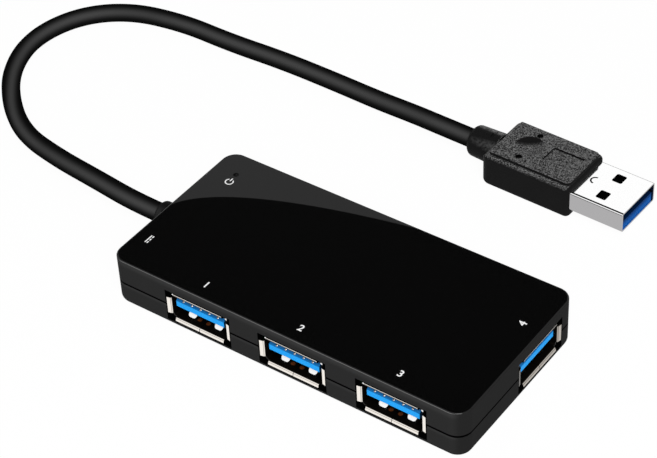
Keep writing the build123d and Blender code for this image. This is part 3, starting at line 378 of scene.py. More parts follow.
@dataclass(frozen=True)
class CasingPlastic(Finish):
    """Moulded ABS, satin on its sides and polished on top, with painted light and shade on its sides and
    seam.
    """

    side: str = "#282828"
    # Painted shade: the end face, which faces right, is a little darker than the front.
    end: str = "#202020"
    end_ramp: Ramp = (0.2, 0.7)
    # Painted highlight along the upper front edge, where the rounded edge faces up and forward.
    rim: str = "#767676"
    rim_ramp: Ramp = (0.9, 0.98)
    rim_direction: Place = (0.0, -0.7071, 0.7071)
    # Painted shade in the seam's gap between the two shells.
    seam_shade: str = "#010101"
    seam_z: float = 0.0053
    seam_ramp: Ramp = (0.288 * MM, 0.18 * MM)
    # Painted sheen: a lighter band on the sides, fading out below the given height.
    sheen: str = "#333333"
    sheen_top: float = 0.0104
    sheen_fall: float = 0.0012
    top_ramp: Ramp = (-0.21 * MM, -0.06 * MM)
    polish: float = 0.43
    coat_roughness: float = 0.008
    lamp_hole_edge: float = 0.0007
    # Painted shade inside the wall's openings round the sockets.
    window_shade: str = "#020202"
    window_fade: float = 0.05 * MM
    windows: tuple[Box, ...] = ()

    def surface(self, paint: Paint) -> dict[str, Output]:
        """Paints light and shade on the sides, upper edge, seam and openings, and polishes the top face.

        Args:
            paint: What the factors and colours are built with.

        Returns:
            The outputs, by the name of the shader's input.
        """
        top = paint.along(UP, self.top_ramp, CASING_HIGH[2])
        seam = paint.join(
            Join.LEAST,
            paint.along(UP, self.seam_ramp, self.seam_z), paint.along(DOWN, self.seam_ramp, -self.seam_z),
        )
        colour = paint.layered(
            self.side,
            (paint.along(UP, (-self.sheen_fall, 0.0), self.sheen_top), self.sheen),
            (paint.facing(RIGHT, self.end_ramp), self.end),
            (seam, self.seam_shade),
            (paint.facing(self.rim_direction, self.rim_ramp), self.rim),
            (top, self.colour),
            (paint.within(self.windows, self.window_fade), self.window_shade),
        )
        lamp_x, lamp_y, _ = middle_of("power_led")
        hole = paint.near(((lamp_x, lamp_y, CASING_HIGH[2]),), self.lamp_hole_edge)
        coat = add_node(paint.tree, "ShaderNodeMapRange", {
            "To Min": 0.0, "To Max": self.polish, "Value": paint.join(Join.LESS, top, hole),
        })
        satin = add_node(paint.tree, "ShaderNodeMapRange", {"To Min": 1.0, "To Max": 0.0, "Value": top})
        return {
            "Base Color": colour,
            "Coat Weight": coat.outputs["Result"],
            "Normal": self.pressed(paint, paint.grain(self.grain_mm), satin.outputs["Result"]),
        }


@dataclass(frozen=True)
class CordSkin(Finish):
    """Extruded PVC with painted light: painted shade towards its sides and a painted narrow sheen along its
    line.
    """

    # Painted shade on the cord's sides; the finish's own colour is its painted sheen.
    shade: str = "#0e0e0e"
    sheen_from: Place = (0.53, -0.6, 0.6)
    sheen_power: float = 9.0
    bend_centre: Place = (-0.077, 0.032, 0.0)

    def sheen(self, paint: Paint) -> Output:
        """Paints a highlight where a place faces a fixed light across the cord, whichever way the cord runs.

        Left of the bend's centre the cord runs round it, and elsewhere it runs along the casing's length.

        Args:
            paint: What the nodes are built with.

        Returns:
            1 on the line that faces the light, falling to 0 at the cord's sides.
        """
        tree, kind = paint.tree, "ShaderNodeVectorMath"
        radius = add_node(tree, kind, {"operation": "SUBTRACT", 0: paint.place, 1: self.bend_centre})
        flat = add_node(tree, kind, {"operation": "MINIMUM", 0: radius.outputs[0], 1: BACK})
        outward = add_node(tree, kind, {"operation": "NORMALIZE", 0: flat.outputs[0]})
        share = add_node(tree, kind, {"operation": "DOT_PRODUCT", 0: outward.outputs[0], 1: self.sheen_from})
        aim = add_node(tree, kind, {
            "operation": "MULTIPLY_ADD", 0: outward.outputs[0], 1: share.outputs["Value"],
            2: (0.0, 0.0, self.sheen_from[2]),
        })
        square = add_node(tree, kind, {"operation": "NORMALIZE", 0: aim.outputs[0]})
        facing = add_node(tree, kind, {"operation": "DOT_PRODUCT", 0: square.outputs[0], 1: paint.normal})
        return add_node(tree, "ShaderNodeMath", {
            "operation": "POWER", 0: facing.outputs["Value"], 1: self.sheen_power,
        }).outputs[0]

    def surface(self, paint: Paint) -> dict[str, Output]:
        """Blends the painted shade and the painted sheen.

        Args:
            paint: What the factors and colours are built with.

        Returns:
            The outputs, by the name of the shader's input.
        """
        colour = paint.layered(self.shade, (self.sheen(paint), self.colour))
        return {**super().surface(paint), "Base Color": colour}


@dataclass(frozen=True)
class Stripe:
    """A painted highlight along a round neck.

    Its side is its place across the neck's upper half, and its ramp runs outward along that radius, both as
    shares of the radius.
    """

    side: float
    ramp: Ramp
    colour: str


@dataclass(frozen=True)
class FrostedTop(Finish):
    """Moulded PVC: coarse spark-eroded grit with painted light where it faces up, and a smooth neck."""

    # Painted light: the grey that the grit takes where it faces up and on the shoulder.
    frost: str = "#747474"
    pit: str = "#181818"
    # Painted shade on the thumb hollow's far wall and a painted highlight on its near wall.
    hollow: str = "#101010"
    glow: str = "#787878"
    # Painted shade in the two pin marks.
    mark: str = "#020202"
    grit_mm: float = 0.213
    grit_ramp: Ramp = (0.44, 0.58)
    faces_up_ramp: Ramp = (0.15, 0.62)
    hollow_lean: tuple[float, float] = (0.55, -0.83)
    hollow_ramp: Ramp = (0.015, 0.24)
    glow_ramp: Ramp = (0.15, 0.6)
    # Painted highlights along the neck, broken up by a coarse mottle.
    wear_mm: float = 0.55
    wear_ramp: Ramp = (0.3, 0.62)
    neck_radius: float = 0.0034
    stripes: tuple[Stripe, ...] = (
        Stripe(0.73, (0.66, 0.95), "#828282"),
        Stripe(-0.78, (0.93, 1.03), "#404040"),
    )
    # Painted light on the shoulder's rounded upper edge below the pad.
    shoulder_ramp: Ramp = (0.0066, 0.0074)
    shoulder_end_ramp: Ramp = (0.3, 0.6)
    pad_foot_z: float = 0.0074
    pad_foot_ramp: Ramp = (0.0, 0.05 * MM)
    axis: Place = RIGHT
    across: Place = BACK
    centre: Place = (0.0, 0.0, 0.0)
    body_back: float = 0.0
    body_ramp: Ramp = (-0.1 * MM, 0.1 * MM)
    marks: tuple[Place, ...] = ()
    mark_radius: float = 0.001

    def stripe(self, paint: Paint, stripe: Stripe) -> Output:
        """Marks one stripe along the neck.

        Args:
            paint: What the nodes are built with.
            stripe: The stripe.

        Returns:
            A factor of 1 on its line.
        """
        line = Vector(self.across) * stripe.side + Vector(UP) * math.sqrt(1 - stripe.side ** 2)
        low, high = stripe.ramp
        ramp = (low * self.neck_radius, high * self.neck_radius)
        return paint.along(tuple(line), ramp, line.dot(Vector(self.centre)))

    def surface(self, paint: Paint) -> dict[str, Output]:
        """Paints light on the upward grit, shade in the thumb hollow and pin marks, and highlights on the
        neck.

        Args:
            paint: What the factors and colours are built with.

        Returns:
            The outputs, by the name of the shader's input.
        """
        lean_along, lean_across = self.hollow_lean
        away = Vector(self.axis) * lean_along + Vector(self.across) * lean_across
        speckle, stripe_mottle = [
            add_node(paint.tree, "ShaderNodeMapRange", {
                "From Min": low, "From Max": high, "Value": paint.grain(size_mm),
            }).outputs["Result"]
            for size_mm, (low, high) in ((self.grit_mm, self.grit_ramp), (self.wear_mm, self.wear_ramp))
        ]
        body = paint.along(self.axis, self.body_ramp, self.body_back)
        glowing = paint.join(Join.ALL, paint.facing(tuple(-away), self.glow_ramp), speckle)
        grit = paint.layered(
            self.pit,
            (speckle, self.frost),
            (paint.facing(tuple(away), self.hollow_ramp), self.hollow),
            (glowing, self.glow),
        )
        # The neck: its own colour with painted highlights, mottled.
        neck = paint.layered(self.colour, *[
            (paint.join(Join.ALL, self.stripe(paint, stripe), stripe_mottle), stripe.colour) for stripe in self.stripes
        ])
        under_pad = paint.along(DOWN, self.pad_foot_ramp, -self.pad_foot_z)
        shoulder = paint.join(Join.ALL, paint.along(UP, self.shoulder_ramp), under_pad)
        shoulder = paint.join(Join.LESS, shoulder, paint.facing(self.axis, self.shoulder_end_ramp))
        colour = paint.layered(
            neck,
            (body, self.colour),
            (paint.join(Join.ALL, paint.facing(UP, self.faces_up_ramp), body), grit),
            (paint.join(Join.ALL, shoulder, body, speckle), self.frost),
            (paint.near(self.marks, self.mark_radius), self.mark),
        )
        return {**super().surface(paint), "Base Color": colour}


@dataclass(frozen=True)
class Mouth:
    """Where a socket or a plug opens: its outward direction and its plane's distance along that direction."""

    place: str
    direction: Place
    plane: float


FRONT_MOUTH = Mouth("front", FORWARD, -CASING_LOW[1])
END_MOUTH = Mouth("end", RIGHT, CASING_HIGH[0])
MOUTHS = {1: FRONT_MOUTH, 2: FRONT_MOUTH, 3: FRONT_MOUTH, 4: END_MOUTH}


@dataclass(frozen=True)
class ShadedMetal(Finish):
    """Plated sheet in its own colour where it faces out of the mouth, with painted shade further in."""

    mouth: Mouth = FRONT_MOUTH
    outward_ramp: Ramp = (0.45, 0.68)
    # Painted shade for the sheet inside the mouth.
    dull: str = "#14110e"
    dull_roughness: float = 0.6

    def plating(self, paint: Paint, outward: Output) -> Output:
        """Colours the plating: its own colour where it faces out, painted shade elsewhere.

        Args:
            paint: What the colours are built with.
            outward: 1 where the sheet faces out of the mouth.

        Returns:
            The colour.
        """
        return paint.layered(self.dull, (outward, self.colour))

    def surface(self, paint: Paint) -> dict[str, Output]:
        """Blends the plating's own colour and its painted shade.

        Args:
            paint: What the factors and colours are built with.

        Returns:
            The outputs, by the name of the shader's input.
        """
        outward = paint.facing(self.mouth.direction, self.outward_ramp)
        rough = add_node(paint.tree, "ShaderNodeMapRange", {
            "To Min": self.dull_roughness, "To Max": self.uneven(paint, paint.grain(self.grain_mm)),
            "Value": outward,
        })
        return {"Base Color": self.plating(paint, outward), "Roughness": rough.outputs["Result"]}


@dataclass(frozen=True)
class SocketSheet(ShadedMetal):
    """A socket's rolled sheet: shining lips, painted highlights and shade, and a painted copper reflection.
    """

    # Colour painted on the springs' noses: a highlight in the front sockets, shade in the end one.
    nose: str = "#ffffff"
    nose_ramp: Ramp = (-1.1 * MM, -1.3 * MM)
    # Painted shade: a darker line where the lips bend.
    crease: str = "#a09a92"
    crease_ramp: Ramp = (0.8, 0.86)
    crease_end_ramp: Ramp = (0.9, 0.96)
    # Painted shade on the tube's cut edges and on a band of the top lip, whose upper edge keeps its colour.
    cut_edge_ramp: Ramp = (0.984, 0.992)
    shade_ramp: Ramp = (0.0071, 0.0072)
    rim_ramp: Ramp = (0.00802, 0.00822)
    # Painted shade on one side of the lips. A zero vector faces nowhere, so that no side of the lips is
    # darker.
    dark_lip: Place = (0.0, 0.0, 0.0)
    dark_lip_ramp: Ramp = (0.1, 0.2)
    # Painted glints on the tube's upper corners, in the noses' colour.
    glints: tuple[Place, ...] = ()
    glint_radius: float = 0.26 * MM
    # Painted reflection of the copper contacts in the tube's floor.
    copper: str = "#9c5830"
    copper_spots: tuple[Place, ...] = ()
    copper_radius: float = 0.55 * MM

    def plating(self, paint: Paint, outward: Output) -> Output:
        """Colours the plating with painted highlights and shade, and a painted copper reflection in the
        floor.

        Args:
            paint: What the colours are built with.
            outward: 1 where the sheet faces out of the mouth.

        Returns:
            The colour.
        """
        out = self.mouth.direction
        sheet = paint.layered(
            self.colour,
            (paint.facing(out, self.crease_ramp), self.crease),
            (paint.facing(out, self.crease_end_ramp), self.colour),
            (paint.facing(out, self.cut_edge_ramp), self.dull),
            (paint.along(UP, self.shade_ramp), self.dull),
            (paint.along(UP, self.rim_ramp), self.colour),
            (paint.facing(self.dark_lip, self.dark_lip_ramp), self.crease),
            (paint.along(out, self.nose_ramp, self.mouth.plane), self.nose),
        )
        layers = [(outward, sheet)]
        if self.copper_spots:
            layers.append((paint.near(self.copper_spots, self.copper_radius), self.copper))
        if self.glints:
            layers.append((paint.near(self.glints, self.glint_radius), self.nose))
        return paint.layered(self.dull, *layers)


@dataclass(frozen=True)
class ShadedPlastic(Finish):
    """Coloured moulding whose front stands in the mouth, with painted deep shade on the rest."""

    mouth: Mouth = FRONT_MOUTH
    # Painted shade behind the front.
    shade: str = "#020304"
    # Painted shade on the upper chamfer and on the flanks that face neither out nor up.
    chamfer: str = "#1167a8"
    flank: str = "#0b2f4f"
    face_ramp: Ramp = (0.3, 0.6)
    front_ramp: Ramp = (-2.4 * MM, -1.6 * MM)
    # Painted shade towards the top of the front, when a ramp is given.
    gloom: str = "#062a5c"
    gloom_ramp: Ramp | None = None

    def surface(self, paint: Paint) -> dict[str, Output]:
        """Blends the front with painted shade on its chamfer, its flanks, its top and behind it.

        Args:
            paint: What the factors and colours are built with.

        Returns:
            The outputs, by the name of the shader's input.
        """
        face: Output | str = self.colour
        if self.gloom_ramp:
            face = paint.layered(face, (paint.along(UP, self.gloom_ramp), self.gloom))
        out = self.mouth.direction
        lit = paint.layered(
            self.flank,
            (paint.facing(out, self.face_ramp), face),
            (paint.facing(UP, self.face_ramp), self.chamfer),
        )
        colour = paint.layered(self.shade, (paint.along(out, self.front_ramp, self.mouth.plane), lit))
        return {**super().surface(paint), "Base Color": colour}


@dataclass(frozen=True)
class BrushedSheet(Finish):
    """Plated sheet: a bright flat top, drawing lines, and painted reflection on its greyer sides and dark
    bend.
    """

    # Painted reflection: the upright sides are painted greyer than the top.
    side: str = "#adacad"
    top_ramp: Ramp = (0.35, 0.75)
    # Painted reflection: a dark line along the bend between top and side.
    bend: str = "#181818"
    bend_ramp: Ramp = (0.76, 0.8)
    bend_end_ramp: Ramp = (0.965, 0.985)
    line_mm: float = 0.12
    line_length_mm: float = 6.0

    def surface(self, paint: Paint) -> dict[str, Output]:
        """Paints the upright faces greyer and the bend dark, as painted reflection, and streaks the sheet.

        Args:
            paint: What the factors and colours are built with.

        Returns:
            The outputs, by the name of the shader's input.
        """
        fine = 1 / (self.line_mm * MM)
        stretch = add_node(paint.tree, "ShaderNodeMapping", {
            "Scale": (1 / (self.line_length_mm * MM), fine, fine), "Vector": paint.place,
        })
        lines = add_node(paint.tree, "ShaderNodeTexNoise", {
            "Scale": 1.0, "Detail": NOISE_DETAIL, "Vector": stretch.outputs["Vector"],
        }).outputs["Fac"]
        bend = paint.join(Join.LESS, paint.facing(UP, self.bend_ramp), paint.facing(UP, self.bend_end_ramp))
        return {
            "Base Color": paint.layered(
                self.side, (paint.facing(UP, self.top_ramp), self.colour), (bend, self.bend)
            ),
            "Roughness": self.uneven(paint, lines),
            "Normal": self.pressed(paint, lines),
        }


class Finishes(Enum):
    """Every finish that does not depend on where a socket opens."""

    # Black ABS from a mould with a polished face and spark-eroded sides: a deep gloss over satin walls.
    CASING_TOP = CasingPlastic(
        "polished_black_abs", "#050505", 0.6, specular=0.01, grain_mm=0.25, grain_depth_mm=0.01,
    )
    # The same ABS from a mould that is spark-eroded all over: a fine, even satin, with a painted sheen band
    # below the seam.
    CASING_BASE = CasingPlastic(
        "satin_black_abs", "#282828", 0.6, specular=0.01, grain_mm=0.25, grain_depth_mm=0.01,
        sheen_top=0.0051, sheen_fall=0.0009,
    )
    # Bright nickel on drawn steel sheet: a mirror on top, drawing lines on the sides, greyer by painted
    # reflection.
    PLUG_SHEET = BrushedSheet(
        "drawn_nickel_sheet", "#ffffff", 0.1, metallic=1.0, grain_depth_mm=0.001, mottle=0.04,
    )
    # Stamped phosphor bronze with a flash of gold: a warm, half-bright metal.
    GOLD_CONTACT = Finish("gold_flashed_bronze", "#e0b060", 0.25, metallic=1.0, grain_mm=0.3, mottle=0.05)
    # The same strip where only its rounded tips show, in the tongue's sight holes: small pale glints.
    GOLD_TIPS = Finish("gold_tips", "#a8a4a0", 0.25, metallic=1.0, grain_mm=0.3, mottle=0.05)
    # The same strip under the tongue, whose copper glints are painted as a reflection on the socket's floor.
    BRONZE_STRIP = Finish("bronze_contacts", "#a5663a", 0.35, metallic=1.0, grain_mm=0.3, mottle=0.05)
    # Soft PVC with an extruded skin that never mirrors: a painted soft sheen where it faces the light.
    CORD_PVC = CordSkin("extruded_black_pvc", "#404040", 0.7, specular=0.0, grain_mm=0.8, grain_depth_mm=0.01)
    # The same PVC moulded as a slotted collar: darker, a little smoother, and with the cord's painted sheen.
    COLLAR_PVC = CordSkin(
        "moulded_collar_pvc", "#2a2a2a", 0.55, specular=0.02, grain_mm=0.5, grain_depth_mm=0.01,
    )
    # White pad-printing ink: thin, flat and almost matt.
    WHITE_INK = Finish("white_pad_print_ink", "#f6f6f6", 0.6, grain_mm=0.2, specular=0.3)
    # Screen-printed solder mask over glass fibre and epoxy: an even, half-gloss green.
    SOLDER_MASK = Finish("green_solder_mask", "#1d6b3a", 0.35, grain_mm=1.0, mottle=0.05)
    # Epoxy pressed round chips and the inlet: charcoal and matt from its glass filler.
    EPOXY = Finish("moulded_epoxy", "#1b1b1c", 0.6, grain_mm=0.15, grain_depth_mm=0.01)
    # Tantalum capacitors in a moulded amber resin: warm and half matt.
    TANTALUM = Finish("tantalum_case", "#c98a2b", 0.5, grain_mm=0.3, mottle=0.05)
    # Fired barium titanate: a dry light brown with a faint mottle.
    CERAMIC = Finish("sintered_ceramic", "#a58660", 0.5, grain_mm=0.3, mottle=0.05)
    # Nickel silver drawn into a can or turned into a pin: a soft, slightly yellow gleam.
    CAN = Finish("drawn_nickel_silver", "#c6c4bd", 0.3, metallic=1.0, grain_mm=0.4, mottle=0.05)
    # Clear epoxy cast with a smoke dye: nearly black while the lamp is off.
    LENS = Finish("smoked_epoxy_lens", "#0c0e10", 0.2, specular=0.1, grain_mm=0.5, mottle=0.03)
    # Polyethylene hot melt poured round the solder joints: milky and soft-edged.
    HOT_MELT = Finish("natural_hot_melt", "#cfcabb", 0.45, grain_mm=0.6, mottle=0.05)
    # Extruded PVC on the wires: a plain, slightly glossy red.
    RED_PVC = Finish("red_wire_insulation", "#b3261e", 0.4, grain_mm=0.6, mottle=0.05)


def dress(node: str, finish: Finish) -> None:
    """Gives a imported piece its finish.

    Args:
        node: Name of the piece.
        finish: Finish for all its faces.
    """
    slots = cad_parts[node].data.materials
    slots.clear()
    slots.append(finish.shared())
    LOG.info("%s: %s", node, finish.name)


# ---------------------------------------------------------------- sub-assemblies
@dataclass
class Casing:
    """The two shells, the numbers printed beside the sockets and two plain signs."""

    print_height: float = 0.0022
    print_lift: float = 0.000012
    stroke: float = 0.00024
    fattening: float = 0.00004
    front_row_y: float = -0.0155
    end_column_x: float = 0.0352
    power_sign: Spot = (-0.0334, 0.0106)
    power_ring: float = 0.3
    power_ring_degrees: tuple[float, float] = (125.0, 415.0)
    power_ring_steps: int = 20
    power_bar_lift: float = 0.75
    inlet_sign: Spot = (-0.0357, -0.0111)
    dash_share: float = 0.25
    dash_step: float = 1.5
    window_width: float = 0.0151
    window_height: float = 0.0074
    window_z: float = 0.005
    wall: float = 0.0015
    skin: float = 0.00008

    def window(self, number: int) -> Box:
        """Finds the wall's opening round a socket, where shade is painted behind the wall's outer skin.

        Args:
            number: The socket.

        Returns:
            The opening's lowest and highest corner.
        """
        mouth = MOUTHS[number]
        out = Vector(mouth.direction)
        across = Vector(UP).cross(out)
        middle = Vector(middle_of(f"socket_{number}_shell")).dot(across)
        start = across * middle + out * (mouth.plane - self.skin) + Vector(UP) * self.window_z
        reach = across * (self.window_width / 2) + Vector(UP) * (self.window_height / 2)
        corners = (start - reach, start + reach - out * self.wall)
        return tuple(map(min, *corners)), tuple(map(max, *corners))

    def build(self) -> None:
        """Dresses the shells and prints the marks."""
        windows = tuple(self.window(number) for number in MOUTHS)
        dress("upper_shell", replace(Finishes.CASING_TOP.value, windows=windows))
        dress("lower_shell", replace(Finishes.CASING_BASE.value, windows=windows))
        for number, mouth in MOUTHS.items():
            middle_x, middle_y, _ = middle_of(f"socket_{number}_shell")
            if mouth is FRONT_MOUTH:
                self.number(number, middle_x, self.front_row_y, 0.0)
            else:
                self.number(number, self.end_column_x, middle_y, math.pi / 2)
        self.current_sign()
        self.lamp_sign()

    def printed(self, piece: bpy.types.Object, x: float, y: float, turn: float) -> None:
        """Lays a flat print on the top face.

        Args:
            piece: The print, drawn round its own origin.
            x: Its middle along the casing.
            y: Its middle across the casing.
            turn: Turn about Z in radians.
        """
        bpy.context.collection.objects.link(piece)
        piece.rotation_euler = (0, 0, turn)
        piece.location = (x, y, CASING_HIGH[2] + self.print_lift)
        piece.data.materials.append(Finishes.WHITE_INK.value.shared())
        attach(piece, BODY)
        LOG.info("%s: printed", piece.name)

    def number(self, number: int, x: float, y: float, turn: float) -> None:
        """Prints one plain number.

        Args:
            number: The number.
            x: Its middle along the casing.
            y: Its middle across the casing.
            turn: Turn about Z in radians.
        """
        letters = bpy.data.curves.new(f"print_{number}", "FONT")
        letters.body = str(number)
        letters.size = self.print_height
        letters.offset = self.fattening
        letters.align_x = "CENTER"
        letters.align_y = "CENTER"
        self.printed(bpy.data.objects.new(f"print_{number}", letters), x, y, turn)

    def sign(self, name: str, outlines: list[list[Spot]], place: Spot, turn: float) -> None:
        """Prints a sign made of flat outlined strokes.

        Args:
            name: Name of the piece.
            outlines: Corners of each stroke's outline round the sign's middle.
            place: The sign's middle along and across the casing.
            turn: Turn about Z in radians.
        """
        build = bmesh.new()
        for outline in outlines:
            build.faces.new([build.verts.new((*corner, 0.0)) for corner in outline])
        mesh = bpy.data.meshes.new(name)
        build.to_mesh(mesh)
        build.free()
        self.printed(bpy.data.objects.new(name, mesh), *place, turn)

    def bar(self, x: float, y: float, length: float, width: float) -> list[Spot]:
        """Outline of a bar round a middle point."""
        corners = ((-1, -1), (1, -1), (1, 1), (-1, 1))
        return [(x + along * length / 2, y + across * width / 2) for along, across in corners]

    def current_sign(self) -> None:
        """Prints the sign for direct current, a line over three dashes, beside the power inlet."""
        dash = self.dash_share * self.print_height
        outlines = [self.bar(0, self.stroke, self.print_height, self.stroke)]
        for step in (-1, 0, 1):
            outlines.append(self.bar(step * self.dash_step * dash, -self.stroke, dash, self.stroke))
        self.sign("print_current", outlines, self.inlet_sign, math.pi / 2)

    def lamp_sign(self) -> None:
        """Prints the sign for power, a broken ring with a bar, beside the lamp's hole."""
        inner = self.power_ring * self.print_height
        outer = inner + self.stroke
        start, end = self.power_ring_degrees
        steps = self.power_ring_steps
        turns = [math.radians(start + (end - start) * step / steps) for step in range(steps + 1)]
        ring = [(outer * math.cos(turn), outer * math.sin(turn)) for turn in turns]
        ring += [(inner * math.cos(turn), inner * math.sin(turn)) for turn in reversed(turns)]
        outlines = [ring, self.bar(0, outer * self.power_bar_lift, self.stroke, outer)]
        self.sign("print_power", outlines, self.power_sign, 0.0)


@dataclass
class Sockets:
    """Four sockets, each a rolled shell round a blue tongue with nine contacts."""

    tip_spacing: float = 0.002
    tip_radius: float = 0.0002
    tip_crown: float = 0.00008
    tip_depth: float = 0.00101
    tip_z: float = 0.00649
    tip_rings: int = 3
    tip_sides: int = 16
    # Places of the painted corner glints and of the painted copper reflections on the floor.
    corner_x: float = 0.00621
    corner_depth: float = 0.00062
    corner_z: float = 0.00752
    floor_z: float = 0.0025
    spot_depth: float = 0.0021
    spot_x: tuple[float, ...] = (-1.4 * MM, 0.6 * MM)

    def build(self) -> None:
        """Dresses every socket."""
        for number, mouth in MOUTHS.items():
            self.tips(number, mouth)
            dress(f"socket_{number}_shell", self.sheet(number, mouth))
            # Glass-filled PBT, moulded: a clean saturated blue with a half gloss on the tongue's front, and
            # painted shade on the rest.
            dress(f"socket_{number}_insulator", ShadedPlastic(
                f"blue_pbt_{mouth.place}", "#1c9ef0", 0.6, specular=0.1, grain_mm=0.2, grain_depth_mm=0.004,
                mouth=mouth,
            ))
            dress(f"socket_{number}_power_contacts", Finishes.BRONZE_STRIP.value)
            dress(f"socket_{number}_data_contacts", Finishes.GOLD_TIPS.value)

    def tips(self, number: int, mouth: Mouth) -> None:
        """Sets the five data contacts' crowned tips in the sight holes of a tongue's sloping nose.

        Args:
            number: The socket.
            mouth: Where it opens.
        """
        out = Vector(mouth.direction)
        across = Vector(UP).cross(out)
        slope = (out + Vector(UP)).normalized()
        rise = (Vector(UP) - out).normalized()
        middle = Vector(middle_of(f"socket_{number}_shell")).dot(across)
        start = across * middle + out * (mouth.plane - self.tip_depth) + Vector(UP) * self.tip_z
        build = bmesh.new()
        for place in range(-2, 3):
            self.dome(build, start + across * place * self.tip_spacing, slope, across, rise)
        for face in build.faces:
            face.smooth = True
        mesh = bpy.data.meshes.new(f"contact_tips_{number}")
        build.to_mesh(mesh)
        build.free()
        mesh.materials.append(Finishes.GOLD_TIPS.value.shared())
        piece = bpy.data.objects.new(mesh.name, mesh)
        bpy.context.collection.objects.link(piece)
        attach(piece, BODY)
        LOG.info("%s: set", piece.name)

    def dome(
        self, build: bmesh.types.BMesh, centre: Vector, up: Vector, across: Vector, rise: Vector,
    ) -> None:
        """Adds one low dome, as rings of faces round its top.

        Args:
            build: Mesh that it joins.
            centre: Middle of its foot.
            up: Direction that it crowns towards.
            across: One direction in its foot's plane.
            rise: The other direction in that plane.
        """
        top = build.verts.new(centre + up * self.tip_crown)
        inner: list[bmesh.types.BMVert] = []
        for ring in range(1, self.tip_rings + 1):
            share = ring / self.tip_rings
            height = self.tip_crown * (1 - share * share)
            outer = []
            for side in range(self.tip_sides):
                turn = 2 * math.pi * side / self.tip_sides
                spoke = across * math.cos(turn) + rise * math.sin(turn)
                outer.append(build.verts.new(centre + spoke * share * self.tip_radius + up * height))
            for side in range(self.tip_sides):
                follow = (side + 1) % self.tip_sides
                if inner:
                    build.faces.new((inner[side], outer[side], outer[follow], inner[follow]))
                else:
                    build.faces.new((top, outer[side], outer[follow]))
            inner = outer

    def sheet(self, number: int, mouth: Mouth) -> SocketSheet:
        """Chooses the plating of one socket.

        Args:
            number: The socket.
            mouth: Where it opens.

        Returns:
            The finish.
        """
        # Bright nickel on rolled steel: the lips shine, the springs' noses carry a painted highlight, and the
        # rest is painted shade.
        name = f"nickel_plated_steel_{number}"
        if mouth is END_MOUTH:
            # The end socket's sheet is painted darker as shade, with painted shade on its noses and the lips'
            # back side.
            return SocketSheet(
                name, "#b4aea6", 0.3, metallic=1.0, mottle=0.06, mouth=mouth,
                nose="#14110e", crease="#4c4842", dark_lip=BACK,
            )
        middle, _, _ = middle_of(f"socket_{number}_shell")
        glint_y, spot_y = self.corner_depth - mouth.plane, self.spot_depth - mouth.plane
        return SocketSheet(
            name, "#f6f0e8", 0.2, metallic=1.0, mottle=0.05, mouth=mouth,
            glints=tuple((middle + side * self.corner_x, glint_y, self.corner_z) for side in (-1, 1)),
            copper_spots=tuple((middle + x, spot_y, self.floor_z) for x in self.spot_x),
        )


@dataclass
class Electronics:
    """The board, what stands on it, the power inlet and the cord's wires."""

    finishes: dict[str, Finishes] = field(default_factory=lambda: {
        "circuit_board": Finishes.SOLDER_MASK,
        "hub_controller_chip": Finishes.EPOXY,
        "voltage_regulator": Finishes.EPOXY,
        "chip_resistors": Finishes.EPOXY,
        "clock_crystal": Finishes.CAN,
        "bulk_capacitors": Finishes.TANTALUM,
        "ceramic_capacitors": Finishes.CERAMIC,
        "power_led": Finishes.LENS,
        "dc_jack_body": Finishes.EPOXY,
        "dc_jack_pin": Finishes.CAN,
        "dc_jack_spring": Finishes.GOLD_CONTACT,
        "cable_wires": Finishes.RED_PVC,
    })

    def build(self) -> None:
        """Dresses each piece."""
        for node, finish in self.finishes.items():
            dress(node, finish.value)


